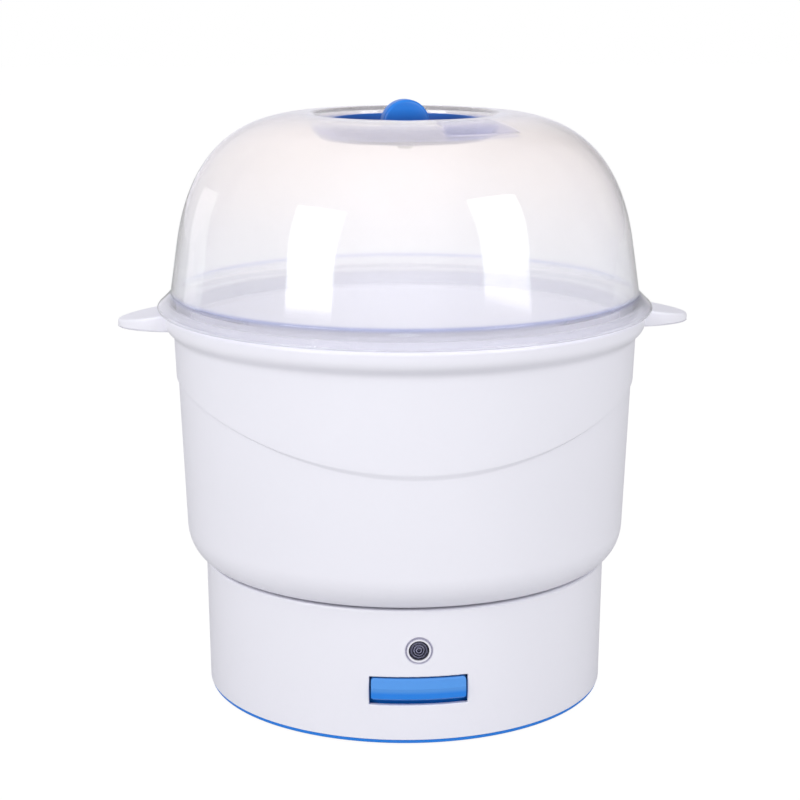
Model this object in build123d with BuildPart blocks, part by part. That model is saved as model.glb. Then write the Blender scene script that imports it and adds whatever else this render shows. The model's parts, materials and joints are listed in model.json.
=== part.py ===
from build123d import *
import os
from math import cos, degrees, pi, radians, sin, sqrt, tan

os.makedirs("parts", exist_ok=True)

# Driving dimensions, in millimetres. The front is at -Y, and Z = 0 is the table.

# Base unit
foot_lift = 1.0            # the rubber feet hold the bottom plate this far off the table
band_height = 2.0          # blue band of the bottom plate that shows under the housing
housing_radius = 100.8     # outside, at the lower edge
housing_lean = 0.9         # the wall leans out by this much at the top
housing_height = 64.5
housing_wall = 2.5
deck_width = 11.2          # of the deck's ring round the nest
nest_depth = 7.5           # of the recess in the deck that the tub's collar drops into
ledge_width = 8.5          # of the nest's ledge, round the opening that the heating pan hangs in
post_radius = 4.5
post_angle = 45.0

# Heating pan and thermostat
pan_sheet = 0.8
pan_floor_thickness = 1.6
pan_depth = 15.0
pan_gap = 1.2              # between the pan's wall and the ledge's edge
pan_corner = 6.0
seal_thickness = 1.0
seal_width = 2.8
seal_inset = 0.4           # of the seal from the opening's edge
stud_radius = 1.5
stud_edge = 5.2            # the pan's studs stand this far out from the opening
stud_count = 3
nut_height = 2.4
nut_across = 5.5
element_circle = 45.0
element_width = 7.0
element_height = 6.0
element_gap_angle = 40.0
cup_radius = 13.0
cup_wall = 1.4
cup_top_wall = 1.0
ferrite_radius = 7.5
ferrite_height = 3.0
magnet_height = 4.0
magnet_lift = 3.5          # the pressed key lifts the magnet by this much
magnet_play = 0.7          # left between the lifted magnet and the ferrite disc
holder_height = 2.0
stem_radius = 2.2
spring_wire = 0.9
spring_radius = 9.2
spring_turns = 5

# Key, lever and switch
slot_width = 46.6
slot_low = 17.3            # above the housing's lower edge
slot_height = 14.1
slot_round = 0.5
key_side_gap = 0.8         # between the key and each side of its slot
key_top_gap = 0.8          # between the key and the upper edge of its slot
key_corner = 1.6
key_crease = 5.7           # crease of the key's face above its lower edge
key_proud = 1.4            # the crease stands this far out of the housing
key_shell = 2.0
socket_length = 4.8        # the key's socket holds this much of the lever
key_low_gap = 2.9          # between the key and the lower edge of its slot
key_arm = 42.0             # from the housing's face back to the pivot
lever_width = 14.0
lever_sheet = 1.6
lever_low = 17.4           # above the housing's lower edge
pivot_rise = 6.0           # pivot axis above the lever's sheet
fork_room = 0.6            # the fork shifts to the rear by up to this much as the key goes down
pin_radius = 1.5
bracket_sheet = 1.5
bracket_gap = 1.5          # between the lever's cheeks and the bracket's cheeks
switch_length = 20.0
switch_height = 10.0
switch_thickness = 6.4
switch_arm = 21.0          # the switch's button lies this far in front of the pivot
button_inset = 5.0         # of the button from the switch's front face

# Pilot lamp
lamp_height = 44.6         # above the housing's lower edge
lens_radius = 4.85
bezel_width = 0.9
lamp_dish_depth = 0.9      # the bezel sits in a dish with a 45 degree side

# Appliance inlet at the rear
inlet_height = 30.0        # above the housing's lower edge
inlet_flange_width = 34.5
inlet_flange_height = 27.0
inlet_flange = 1.8
inlet_body_width = 27.6
inlet_body_height = 20.0
inlet_body_depth = 20.0
inlet_mouth_width = 24.4
inlet_mouth_height = 16.8
inlet_mouth_depth = 16.5
mouth_cut = 5.0            # side of the square that cuts each upper corner of the mouth

# Tub
tub_lift = 1.5             # the tub's round bottom hangs this far above the deck
tub_overhang = 9.2         # of the tub's wall past the deck, where the round bottom ends
tub_corner_r = 14.0
tub_corner_z = 18.0
tub_flare = 3.7            # the wall leans out by this much up to the rim bead
tub_height = 126.5         # from the deck up to the top of the rim
tub_wall = 2.2
rim_bead = 5.7             # the bead stands this far out of the wall
rim_height = 13.5
rim_step_depth = 8.0       # the lid's skirt stands in a step inside the rim
rim_step_width = 1.4
collar_gap = 0.7           # around the tub's collar in the nest
collar_wall = 2.2
collar_drop = 4.5          # the collar reaches this far below the deck
ear_length = 26.0          # from the root inside the bead to the tip
ear_half = 17.3            # half width at the root
ear_root_thickness = 8.0
ear_tip_thickness = 4.0
ear_drop = 1.0             # of the ear's root below the rim
ear_slope = 3.5            # the ear's top falls this far from the root to the tip
ear_shell = 1.8

# Bottle rack
rack_inset = 2.4           # the rack's edge lies this far inside the tub's round corner
rack_sheet = 2.2
rack_foot = 4.8
rack_edge = 8.0
bottle_count = 6
bottle_ring_gap = 1.5      # between each bottle's ring and the rack's edge
peg_radius = 3.6
peg_height = 52.0
column_radius = 7.0
column_height = 68.0
grip_radius = 12.0

# Lid
lid_wall = 2.2
brim_overhang = 3.2        # of the lid's flared brim past the rim bead
brim_lip = 1.7             # height of the brim's edge
foot_rise = 13.0           # the side starts this far above the rim
side_lean = 3.4            # the straight side leans in by this much up to the dome
shoulder_height = 34.0     # above the tub's rim
dome_rise = 62.5
crest_radius = 47.7
crest_round = 3.2
well_side = 6.5            # run of the well's curved side
well_depth = 10.5
skirt_gap = 0.6
skirt_drop = 6.5

# Lid grip
dish_flare = 3.5           # the dish's side leans out by this much
dish_inset = 0.5           # of the dish's rim inside the edge of the well's floor
dish_height = 8.5
dish_sheet = 2.0
fin_radius = 12.0
fin_top = 17.0             # above the well's floor
fin_thickness = 8.0
fin_turn = 12.0
fin_roof = 3.0             # left above the screw's bore
washer_radius = 16.0
washer_height = 1.9
grip_screw_radius = 2.0
grip_head_height = 2.2

# Fasteners and small clearances
screw_radius = 1.9
screw_head_radius = 3.9
screw_head_height = 1.8
slip = 0.15                # radial clearance of a screw or sleeve in its hole
touch_gap = 0.3            # free space between pieces that move past each other

# Radii that follow from the sizes above
nest_radius = housing_radius + housing_lean - deck_width
pan_hole_radius = nest_radius - ledge_width
post_circle = nest_radius - post_radius
stud_circle = pan_hole_radius + stud_edge
tub_low_radius = housing_radius + housing_lean + tub_overhang
tub_top_radius = tub_low_radius + tub_flare
rim_radius = tub_top_radius + rim_bead
rim_step_radius = tub_top_radius - tub_wall + rim_step_width

# Heights that follow from the sizes above
plate_low = foot_lift
housing_low = plate_low + band_height
deck_top = housing_low + housing_height
ledge_top = deck_top - nest_depth
ledge_low = ledge_top - housing_wall
pan_top = ledge_top + seal_thickness + pan_sheet
pan_floor = pan_top - pan_depth
pan_under = pan_floor - pan_floor_thickness
magnet_room = magnet_height + magnet_lift + magnet_play
cup_height = cup_wall + holder_height + magnet_room + ferrite_height + cup_top_wall
cup_low = pan_under - cup_height
cup_floor = cup_low + cup_wall
rim_top = deck_top + tub_height
tub_under = deck_top + tub_lift
corner_top = tub_under + tub_corner_z
bead_low = rim_top - rim_height
step_z = rim_top - rim_step_depth
tub_floor = tub_under + tub_wall
well_floor = rim_top + shoulder_height + dome_rise - well_depth


def wall_radius(z):
    """Outer radius of the housing at height z: the wall leans out in a straight line."""
    return housing_radius + housing_lean * (z - housing_low) / housing_height


def ring_points(radius, count, first=0.0):
    """Points spread evenly on a circle about the Z axis, from the angle first."""
    step = 360.0 / count
    return [
        (radius * cos(radians(first + step * i)), radius * sin(radians(first + step * i)))
        for i in range(count)
    ]


post_points = ring_points(post_circle, 4, post_angle)
foot_points = ring_points(post_circle, 4)
stud_points = ring_points(stud_circle, stud_count)
bracket_half = 30.0
bracket_row = -sqrt(post_circle**2 - bracket_half**2)
bracket_points = [(-bracket_half, bracket_row), (bracket_half, bracket_row)]

# Bottom plate: a flat disc with a ring that centres it in the housing
plate_inset = 0.6          # the band lies this far inside the housing's face
plate_ring_height = 3.5
plate_ring_radius = housing_radius - housing_wall - 0.4
pad_height = 2.0
pad_radius = 6.5
vent_count = 20
vent_circle = 46.0
vent_length = 16.0
vent_width = 3.0
foot_radius_outer = 8.0
foot_pocket = 1.0

with BuildPart() as bottom_plate:
    with BuildSketch(Plane.XY.offset(plate_low)):
        Circle(housing_radius - plate_inset)
    extrude(amount=band_height)
    chamfer(bottom_plate.edges().group_by(Axis.Z)[0], 0.3)
    with BuildSketch(Plane.XY.offset(housing_low)):
        Circle(plate_ring_radius)
        Circle(plate_ring_radius - housing_wall, mode=Mode.SUBTRACT)
    extrude(amount=plate_ring_height)
    with BuildSketch(Plane.XY.offset(housing_low)):
        with Locations(*post_points):
            Circle(pad_radius)
    extrude(amount=pad_height)
    with BuildSketch(Plane.XY.offset(plate_low)):
        with Locations(*post_points):
            Circle(screw_head_radius + 0.3)
    extrude(amount=band_height, mode=Mode.SUBTRACT)
    with BuildSketch(Plane.XY.offset(plate_low)):
        with Locations(*post_points):
            Circle(screw_radius + slip)
    extrude(amount=band_height + pad_height, mode=Mode.SUBTRACT)
    with BuildSketch(Plane.XY.offset(plate_low)):
        with Locations(*foot_points):
            Circle(foot_radius_outer + 0.1)
    extrude(amount=foot_pocket, mode=Mode.SUBTRACT)
    with BuildSketch(Plane.XY.offset(plate_low)):
        with PolarLocations(vent_circle, vent_count):
            SlotOverall(vent_length, vent_width)
    extrude(amount=band_height, mode=Mode.SUBTRACT)
bottom_plate.part.label = "bottom_plate"
export_step(bottom_plate.part, "parts/bottom_plate.step")

with BuildPart() as rubber_feet:
    with BuildSketch():
        with Locations(*foot_points):
            Circle(foot_radius_outer)
    extrude(amount=foot_lift + foot_pocket)
    fillet(rubber_feet.edges().group_by(Axis.Z)[0], 0.6)
rubber_feet.part.label = "rubber_feet"
export_step(rubber_feet.part, "parts/rubber_feet.step")

# Housing: wall, deck, nest and ledge turned in one profile, then posts and openings
post_low = housing_low + pad_height
slot_bottom = housing_low + slot_low
slot_top = slot_bottom + slot_height
lamp_z = housing_low + lamp_height
inlet_z = housing_low + inlet_height
inlet_seat = housing_radius - 2.3
inlet_pocket_gap = 0.75    # round the inlet's flange
inlet_pad = 2.0            # of the thicker wall round the pocket
inlet_pocket_width = inlet_flange_width + 2 * inlet_pocket_gap
inlet_pocket_height = inlet_flange_height + 2 * inlet_pocket_gap
bracket_drop = 16.0        # of the bracket's posts below the ledge
bracket_top = ledge_low - bracket_drop
screw_depth = 9.0
bezel_radius = lens_radius + bezel_width + 0.05
sleeve_radius = lens_radius + bezel_width / 2


def on_slot_rim(point):
    """True for a point on the edge that the key's slot makes with the outer face."""
    outside = sqrt(point.X**2 + point.Y**2) > wall_radius(point.Z) - 0.1
    beside = point.Y < 0 and abs(point.X) < slot_width
    return outside and beside and slot_bottom - 0.1 < point.Z < slot_top + 0.1


with BuildPart() as housing_shell:
    with BuildSketch(Plane.XZ):
        with BuildLine():
            Polyline(
                (housing_radius, housing_low),
                (wall_radius(deck_top), deck_top),
                (nest_radius, deck_top),
                (nest_radius, ledge_top),
                (pan_hole_radius, ledge_top),
                (pan_hole_radius, ledge_low),
                (nest_radius + housing_wall, ledge_low),
                (nest_radius + housing_wall, deck_top - housing_wall),
                (wall_radius(deck_top - housing_wall) - housing_wall, deck_top - housing_wall),
                (housing_radius - housing_wall, housing_low),
                close=True,
            )
        make_face()
    revolve(axis=Axis.Z)
    outer_rim = housing_shell.edges().filter_by(GeomType.CIRCLE).sort_by(Axis.Z)[-2:]
    fillet(outer_rim.sort_by(SortBy.RADIUS)[-1], 1.0)
    with BuildSketch(Plane.XY.offset(ledge_low)):
        with Locations(*post_points):
            Circle(post_radius)
    extrude(amount=post_low - ledge_low)
    with BuildSketch(Plane.XY.offset(ledge_low)):
        with Locations(*bracket_points):
            Circle(post_radius)
    extrude(amount=bracket_top - ledge_low)
    with BuildSketch(Plane.XY.offset(post_low)):
        with Locations(*post_points):
            Circle(screw_radius)
    extrude(amount=screw_depth, mode=Mode.SUBTRACT)
    with BuildSketch(Plane.XY.offset(bracket_top)):
        with Locations(*bracket_points):
            Circle(screw_radius)
    extrude(amount=screw_depth, mode=Mode.SUBTRACT)
    with BuildSketch(Plane.XY.offset(ledge_low)):
        with Locations(*stud_points):
            Circle(stud_radius + slip)
    extrude(amount=housing_wall, mode=Mode.SUBTRACT)
    with BuildSketch(Plane.XZ):
        with Locations((0, (slot_bottom + slot_top) / 2)):
            Rectangle(slot_width, slot_top - slot_bottom)
    extrude(amount=wall_radius(deck_top) + 2, mode=Mode.SUBTRACT)
    slot_edges = [edge for edge in housing_shell.edges() if on_slot_rim(edge @ 0.5)]
    fillet(slot_edges, slot_round)
    with BuildSketch(Plane.XZ):
        with Locations((0, lamp_z)):
            Circle(sleeve_radius + slip)
    extrude(amount=wall_radius(deck_top) + 2, mode=Mode.SUBTRACT)
    lamp_seat = wall_radius(lamp_z) - lamp_dish_depth
    with BuildSketch(Plane.XZ.offset(lamp_seat)):
        with Locations((0, lamp_z)):
            Circle(bezel_radius + slip)
    extrude(amount=2.0, taper=-45.0, mode=Mode.SUBTRACT)
    with BuildSketch(Plane.XZ.offset(-inlet_seat)):
        with Locations((0, inlet_z)):
            Rectangle(inlet_pocket_width + 2 * inlet_pad, inlet_pocket_height + 2 * inlet_pad)
    extrude(amount=housing_wall)
    with BuildSketch(Plane.XZ.offset(-inlet_seat)):
        with Locations((0, inlet_z)):
            Rectangle(inlet_pocket_width, inlet_pocket_height)
    extrude(amount=-10.0, mode=Mode.SUBTRACT)
    with BuildSketch(Plane.XZ.offset(-inlet_seat)):
        with Locations((0, inlet_z)):
            Rectangle(inlet_body_width + 2 * slip, inlet_body_height + 2 * slip)
    extrude(amount=housing_wall + 1.0, mode=Mode.SUBTRACT)

# The moulding is cut at the ledge: the ledge and its posts, and the wall, deck and nest
with BuildPart() as base_ledge:
    add(housing_shell.part)
    with BuildSketch():
        Circle(nest_radius + housing_wall)
    extrude(amount=ledge_top, mode=Mode.INTERSECT)
base_ledge.part.label = "base_ledge"
export_step(base_ledge.part, "parts/base_ledge.step")

with BuildPart() as base_housing:
    add(housing_shell.part)
    with BuildSketch():
        Circle(nest_radius + housing_wall)
    extrude(amount=ledge_top, mode=Mode.SUBTRACT)
base_housing.part.label = "base_housing"
export_step(base_housing.part, "parts/base_housing.step")


cross_length = 3.6
cross_width = 0.8
cross_depth = 0.9


def screws(points, head_low, direction, length):
    """Pan head screws at the points; the shank runs from the head along direction."""
    with BuildPart() as group:
        with BuildSketch(Plane.XY.offset(head_low)):
            with Locations(*points):
                Circle(screw_head_radius)
        extrude(amount=-direction * screw_head_height)
        with BuildSketch(Plane.XY.offset(head_low)):
            with Locations(*points):
                Circle(screw_radius)
        extrude(amount=direction * length)
        with BuildSketch(Plane.XY.offset(head_low - direction * screw_head_height)):
            with Locations(*points):
                Rectangle(cross_length, cross_width)
                Rectangle(cross_width, cross_length)
        extrude(amount=direction * cross_depth, mode=Mode.SUBTRACT)
    return group.part


bottom_screws = screws(post_points, housing_low, 1, pad_height + screw_depth - 1.0)
bottom_screws.label = "bottom_screws"
export_step(bottom_screws, "parts/bottom_screws.step")

bracket_low = bracket_top - bracket_sheet
bracket_screws = screws(bracket_points, bracket_low, 1, bracket_sheet + screw_depth - 1.0)
bracket_screws.label = "bracket_screws"
export_step(bracket_screws, "parts/bracket_screws.step")

# Heating pan: a pressed steel bowl whose flange lies on the seal, with studs under it
pan_radius = pan_hole_radius - pan_gap
pan_flange_gap = 1.0       # between the pan's flange and the nest's wall
pan_flange_radius = nest_radius - pan_flange_gap
stud_out = 2.0             # the stud passes its nut by this much
stud_length = seal_thickness + housing_wall + nut_height + stud_out

with BuildPart() as heating_pan:
    with BuildSketch(Plane.XZ):
        with BuildLine():
            Line((0, pan_under), (pan_radius - pan_corner, pan_under))
            RadiusArc(
                (pan_radius - pan_corner, pan_under),
                (pan_radius, pan_under + pan_corner),
                -pan_corner,
            )
            Polyline(
                (pan_radius, pan_under + pan_corner),
                (pan_radius, pan_top - pan_sheet),
                (pan_flange_radius, pan_top - pan_sheet),
                (pan_flange_radius, pan_top),
                (pan_radius - pan_sheet, pan_top),
                (pan_radius - pan_sheet, pan_floor + pan_corner - pan_sheet),
            )
            RadiusArc(
                (pan_radius - pan_sheet, pan_floor + pan_corner - pan_sheet),
                (pan_radius - pan_corner, pan_floor),
                pan_corner - pan_sheet,
            )
            Polyline((pan_radius - pan_corner, pan_floor), (0, pan_floor), (0, pan_under))
        make_face()
    revolve(axis=Axis.Z)
    with BuildSketch(Plane.XY.offset(pan_top - pan_sheet)):
        with Locations(*stud_points):
            Circle(stud_radius)
    extrude(amount=-stud_length)
heating_pan.part.label = "heating_pan"
export_step(heating_pan.part, "parts/heating_pan.step")

with BuildPart() as pan_seal:
    with BuildSketch(Plane.XY.offset(ledge_top)):
        Circle(pan_hole_radius + seal_inset + seal_width)
        Circle(pan_hole_radius + seal_inset, mode=Mode.SUBTRACT)
    extrude(amount=seal_thickness)
pan_seal.part.label = "pan_seal"
export_step(pan_seal.part, "parts/pan_seal.step")

with BuildPart() as pan_nuts:
    with BuildSketch(Plane.XY.offset(ledge_low)):
        with Locations(*stud_points):
            RegularPolygon(nut_across / 2, 6, major_radius=False)
            Circle(stud_radius + 0.03, mode=Mode.SUBTRACT)
    extrude(amount=-nut_height)
pan_nuts.part.label = "pan_nuts"
export_step(pan_nuts.part, "parts/pan_nuts.step")

# Heating element: a flat-topped ring on the pan's underside, open at the rear
element_low = pan_under - element_height
element_start = 90 + element_gap_angle / 2
element_plane = Plane.XZ.rotated((0, 0, element_start))
terminal_radius = 1.6
terminal_drop = 9.0
terminal_inset = 4.0
terminal_points = [
    (element_circle * cos(radians(angle)), element_circle * sin(radians(angle)))
    for angle in (element_start + terminal_inset, 180 - element_start - terminal_inset)
]

with BuildPart() as heating_element:
    with BuildSketch(element_plane):
        with Locations((element_circle, pan_under - element_height / 2)):
            RectangleRounded(element_width, element_height, 1.6)
    revolve(axis=Axis.Z, revolution_arc=360 - element_gap_angle)
    with BuildSketch(Plane.XY.offset(element_low + 1.0)):
        with Locations(*terminal_points):
            Circle(terminal_radius)
    extrude(amount=-terminal_drop)
heating_element.part.label = "heating_element"
export_step(heating_element.part, "parts/heating_element.step")

# Thermostat: cup, ferrite disc, magnet with its stem, and the spring between them
with BuildPart() as thermostat_cup:
    with BuildSketch(Plane.XY.offset(cup_low)):
        Circle(cup_radius)
    extrude(amount=cup_height)
    with BuildSketch(Plane.XY.offset(cup_floor)):
        Circle(cup_radius - cup_wall)
    extrude(amount=cup_height - cup_wall - cup_top_wall, mode=Mode.SUBTRACT)
    with BuildSketch(Plane.XY.offset(cup_low)):
        Circle(stem_radius + touch_gap)
    extrude(amount=cup_wall, mode=Mode.SUBTRACT)
    with BuildSketch(Plane.XY.offset(cup_floor + 4.0)):
        Rectangle(3 * cup_radius, 5.0)
    extrude(amount=4.0, mode=Mode.SUBTRACT)
thermostat_cup.part.label = "thermostat_cup"
export_step(thermostat_cup.part, "parts/thermostat_cup.step")

cup_roof = pan_under - cup_top_wall
with BuildPart() as ferrite_disc:
    with BuildSketch(Plane.XY.offset(cup_roof - ferrite_height)):
        Circle(ferrite_radius)
    extrude(amount=ferrite_height)
    chamfer(ferrite_disc.edges().group_by(Axis.Z)[0], 0.4)
ferrite_disc.part.label = "ferrite_disc"
export_step(ferrite_disc.part, "parts/ferrite_disc.step")

lever_z = housing_low + lever_low
collar_play = 0.45
stem_collar_radius = 5.0
stem_collar_height = 1.5
holder_top = cup_floor + holder_height

with BuildPart() as magnet_stem:
    with BuildSketch(Plane.XY.offset(cup_floor)):
        Circle(cup_radius - cup_wall - 0.5)
    extrude(amount=holder_height)
    stem_low = lever_z - collar_play - stem_collar_height
    with BuildSketch(Plane.XY.offset(stem_low)):
        Circle(stem_radius)
    extrude(amount=cup_floor - stem_low)
    with BuildSketch(Plane.XY.offset(stem_low)):
        Circle(stem_collar_radius)
    extrude(amount=stem_collar_height)
    with BuildSketch(Plane.XY.offset(lever_z + lever_sheet + collar_play)):
        Circle(stem_collar_radius)
    extrude(amount=stem_collar_height)
magnet_stem.part.label = "magnet_stem"
export_step(magnet_stem.part, "parts/magnet_stem.step")

with BuildPart() as thermostat_magnet:
    with BuildSketch(Plane.XY.offset(holder_top)):
        Circle(ferrite_radius)
    extrude(amount=magnet_height)
    chamfer(thermostat_magnet.edges().group_by(Axis.Z)[-1], 0.4)
thermostat_magnet.part.label = "thermostat_magnet"
export_step(thermostat_magnet.part, "parts/thermostat_magnet.step")

spring_room = cup_roof - holder_top
spring_pitch = (spring_room - spring_wire - 0.1) / spring_turns
spring_start = holder_top + spring_wire / 2 + 0.05

with BuildPart() as thermostat_spring:
    with BuildLine(Plane.XY.offset(spring_start)) as coil:
        Helix(pitch=spring_pitch, height=spring_pitch * spring_turns, radius=spring_radius)
    with BuildSketch(Plane(origin=coil.line @ 0, z_dir=coil.line % 0)):
        Circle(spring_wire / 2)
    sweep(path=coil.line, is_frenet=True)
thermostat_spring.part.label = "thermostat_spring"
export_step(thermostat_spring.part, "parts/thermostat_spring.step")

# Key lever: a steel strip on a pin, forked round the magnet's stem at the rear
pivot_y = -(housing_radius - key_arm)
pivot_z = lever_z + lever_sheet + pivot_rise
lever_front = -(housing_radius - 10.0)
lever_rear = stem_collar_radius + 1.0
cheek_outer = lever_width / 2
cheek_half_length = 6.0
cheek_height = lever_sheet + pivot_rise + 3.0

with BuildPart() as key_lever:
    with BuildSketch(Plane.XY.offset(lever_z)):
        with Locations((0, (lever_front + lever_rear) / 2)):
            Rectangle(lever_width, lever_rear - lever_front)
        with Locations((0, (lever_rear - fork_room) / 2)):
            Rectangle(2 * (stem_radius + touch_gap), lever_rear + fork_room, mode=Mode.SUBTRACT)
        with Locations((0, -fork_room)):
            Circle(stem_radius + touch_gap, mode=Mode.SUBTRACT)
    extrude(amount=lever_sheet)
    with BuildSketch(Plane.YZ.offset(-cheek_outer)):
        with Locations((pivot_y, lever_z + cheek_height / 2)):
            Rectangle(2 * cheek_half_length, cheek_height)
    extrude(amount=lever_sheet)
    with BuildSketch(Plane.YZ.offset(cheek_outer - lever_sheet)):
        with Locations((pivot_y, lever_z + cheek_height / 2)):
            Rectangle(2 * cheek_half_length, cheek_height)
    extrude(amount=lever_sheet)
    with BuildSketch(Plane.YZ.offset(-lever_width)):
        with Locations((pivot_y, pivot_z)):
            Circle(pin_radius + 0.06)
    extrude(amount=2 * lever_width, mode=Mode.SUBTRACT)
key_lever.part.label = "key_lever"
export_step(key_lever.part, "parts/key_lever.step")

# Key: a hollow cap with a creased face, a stop plate behind the wall and a socket
key_width = slot_width - 2 * key_side_gap
key_low = slot_bottom + key_low_gap
key_top = slot_top - key_top_gap
key_height = key_top - key_low
face_radius = wall_radius(key_low + key_crease) + key_proud
stop_gap = 2.4             # room for the stop plate to swing behind the wall
stop_front = housing_radius - housing_wall - stop_gap
stop_back = stop_front - key_shell
key_back = -lever_front - socket_length
socket_wall = 1.6
socket_front = stop_front - 0.6
socket_half = lever_width / 2 + socket_wall
stop_margin = 2.2
stop_foot = 2.0            # the stop plate reaches this much further down
face_lean = 1.8            # the face's upper part leans back by this much
key_edge = 0.8             # rounding of the face's upper and lower edge

with BuildPart() as press_key:
    with BuildSketch(Plane.XZ):
        with BuildLine():
            Polyline(
                (stop_back, key_low),
                (face_radius - 1.0, key_low),
                (face_radius - 0.3, key_low + key_edge),
                (face_radius, key_low + key_crease),
                (face_radius - face_lean + 0.7, key_top - key_edge),
                (face_radius - face_lean, key_top),
                (stop_back, key_top),
                close=True,
            )
        make_face()
    revolve(axis=Axis.Z)
    with BuildSketch(Plane.XZ):
        with Locations((0, key_low + key_height / 2)):
            RectangleRounded(key_width, key_height, key_corner)
    extrude(amount=face_radius, mode=Mode.INTERSECT)
    with BuildSketch(Plane.XY.offset(key_low - stop_margin - stop_foot)):
        Circle(stop_front)
        Circle(stop_back, mode=Mode.SUBTRACT)
        with Locations((0, -stop_front)):
            Rectangle(slot_width + 2 * stop_margin, stop_front, mode=Mode.INTERSECT)
    extrude(amount=key_height + 2 * stop_margin + stop_foot)
    with BuildSketch(Plane.XY.offset(key_low + key_shell)):
        Circle(face_radius - face_lean - key_shell)
        with Locations((0, -face_radius)):
            Rectangle(key_width - 2 * key_shell, face_radius, mode=Mode.INTERSECT)
    extrude(amount=key_height - 2 * key_shell, mode=Mode.SUBTRACT)
    with BuildSketch(Plane.XY.offset(lever_z - socket_wall)):
        with Locations((0, -(key_back + socket_front) / 2)):
            Rectangle(2 * socket_half, socket_front - key_back)
    extrude(amount=lever_sheet + 2 * socket_wall)
    with BuildSketch(Plane.XY.offset(lever_z)):
        with Locations((0, lever_front / 2)):
            Rectangle(lever_width, -lever_front)
    extrude(amount=lever_sheet, mode=Mode.SUBTRACT)
press_key.part.label = "press_key"
export_step(press_key.part, "parts/press_key.step")

# Bracket: a plate under the ledge's posts with two cheeks that carry the pivot pin
bracket_inner = cheek_outer + bracket_gap
rivet_radius = 1.2
rivet_head_radius = 2.2
cheek_low = lever_z - 4.0
switch_top = lever_z - 2.4
switch_y = pivot_y - switch_arm
switch_front = switch_y - button_inset
switch_back = switch_front + switch_length
bracket_back = pivot_y + cheek_half_length

with BuildPart() as lever_bracket:
    with BuildSketch(Plane.XY.offset(bracket_top)):
        with Locations((0, (bracket_row + bracket_back) / 2)):
            Rectangle(2 * (bracket_inner + bracket_sheet), bracket_back - bracket_row)
        with Locations((0, bracket_row)):
            SlotOverall(2 * (bracket_half + post_radius), 2 * post_radius)
        with Locations(*bracket_points):
            Circle(screw_radius + slip, mode=Mode.SUBTRACT)
    extrude(amount=-bracket_sheet)
    with BuildSketch(Plane.YZ.offset(bracket_inner)):
        with Locations((pivot_y, (bracket_top + cheek_low) / 2)):
            Rectangle(2 * cheek_half_length, bracket_top - cheek_low)
    extrude(amount=bracket_sheet)
    with BuildSketch(Plane.YZ.offset(-bracket_inner - bracket_sheet)):
        with BuildLine():
            Polyline(
                (bracket_back, bracket_top),
                (bracket_back, cheek_low),
                (switch_back, switch_top - switch_height - 1.0),
                (switch_front, switch_top - switch_height - 1.0),
                (switch_front, switch_top + 0.5),
                (pivot_y - cheek_half_length, bracket_top),
                close=True,
            )
        make_face()
    extrude(amount=bracket_sheet)
    with BuildSketch(Plane.YZ.offset(-2 * lever_width)):
        with Locations((pivot_y, pivot_z)):
            Circle(pin_radius + 0.02)
    extrude(amount=4 * lever_width, mode=Mode.SUBTRACT)
    rivet_z = switch_top - switch_height + 2.8
    rivet_points = [(switch_front + 4.0, rivet_z), (switch_back - 4.0, rivet_z)]
    with BuildSketch(Plane.YZ.offset(-2 * lever_width)):
        with Locations(*rivet_points):
            Circle(rivet_radius)
    extrude(amount=2 * lever_width, mode=Mode.SUBTRACT)
lever_bracket.part.label = "lever_bracket"
export_step(lever_bracket.part, "parts/lever_bracket.step")

pin_half = bracket_inner + bracket_sheet + 1.5
with BuildPart() as pivot_pin:
    with BuildSketch(Plane.YZ.offset(-pin_half)):
        with Locations((pivot_y, pivot_z)):
            Circle(pin_radius)
    extrude(amount=2 * pin_half)
    with BuildSketch(Plane.YZ.offset(pin_half)):
        with Locations((pivot_y, pivot_z)):
            Circle(pin_radius + 1.0)
    extrude(amount=0.8)
pivot_pin.part.label = "pivot_pin"
export_step(pivot_pin.part, "parts/pivot_pin.step")

# Switch: body riveted to the bracket's long cheek, with a button under the lever
button_radius = 1.3
switch_x = -bracket_inner + switch_thickness / 2

with BuildPart() as switch_body:
    with BuildSketch(Plane.YZ.offset(-bracket_inner)):
        with Locations(((switch_front + switch_back) / 2, switch_top - switch_height / 2)):
            Rectangle(switch_length, switch_height)
        with Locations(*rivet_points):
            Circle(rivet_radius, mode=Mode.SUBTRACT)
    extrude(amount=switch_thickness)
    with BuildSketch(Plane.XY.offset(switch_top)):
        with Locations((switch_x, switch_y)):
            Circle(button_radius + 0.05)
    extrude(amount=-4.2, mode=Mode.SUBTRACT)
switch_body.part.label = "switch_body"
export_step(switch_body.part, "parts/switch_body.step")

with BuildPart() as switch_button:
    with BuildSketch(Plane.XY.offset(switch_top - 2.2)):
        with Locations((switch_x, switch_y)):
            Circle(button_radius)
    extrude(amount=lever_z - 0.15 - switch_top + 2.2)
    fillet(switch_button.edges().group_by(Axis.Z)[-1], 0.6)
switch_button.part.label = "switch_button"
export_step(switch_button.part, "parts/switch_button.step")

with BuildPart() as switch_rivets:
    with BuildSketch(Plane.YZ.offset(-bracket_inner - bracket_sheet)):
        with Locations(*rivet_points):
            Circle(rivet_radius)
    extrude(amount=bracket_sheet + switch_thickness)
    with BuildSketch(Plane.YZ.offset(-bracket_inner - bracket_sheet)):
        with Locations(*rivet_points):
            Circle(rivet_head_radius)
    extrude(amount=-0.8)
    with BuildSketch(Plane.YZ.offset(-bracket_inner + switch_thickness)):
        with Locations(*rivet_points):
            Circle(rivet_head_radius)
    extrude(amount=0.6)
switch_rivets.part.label = "switch_rivets"
export_step(switch_rivets.part, "parts/switch_rivets.step")

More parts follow.
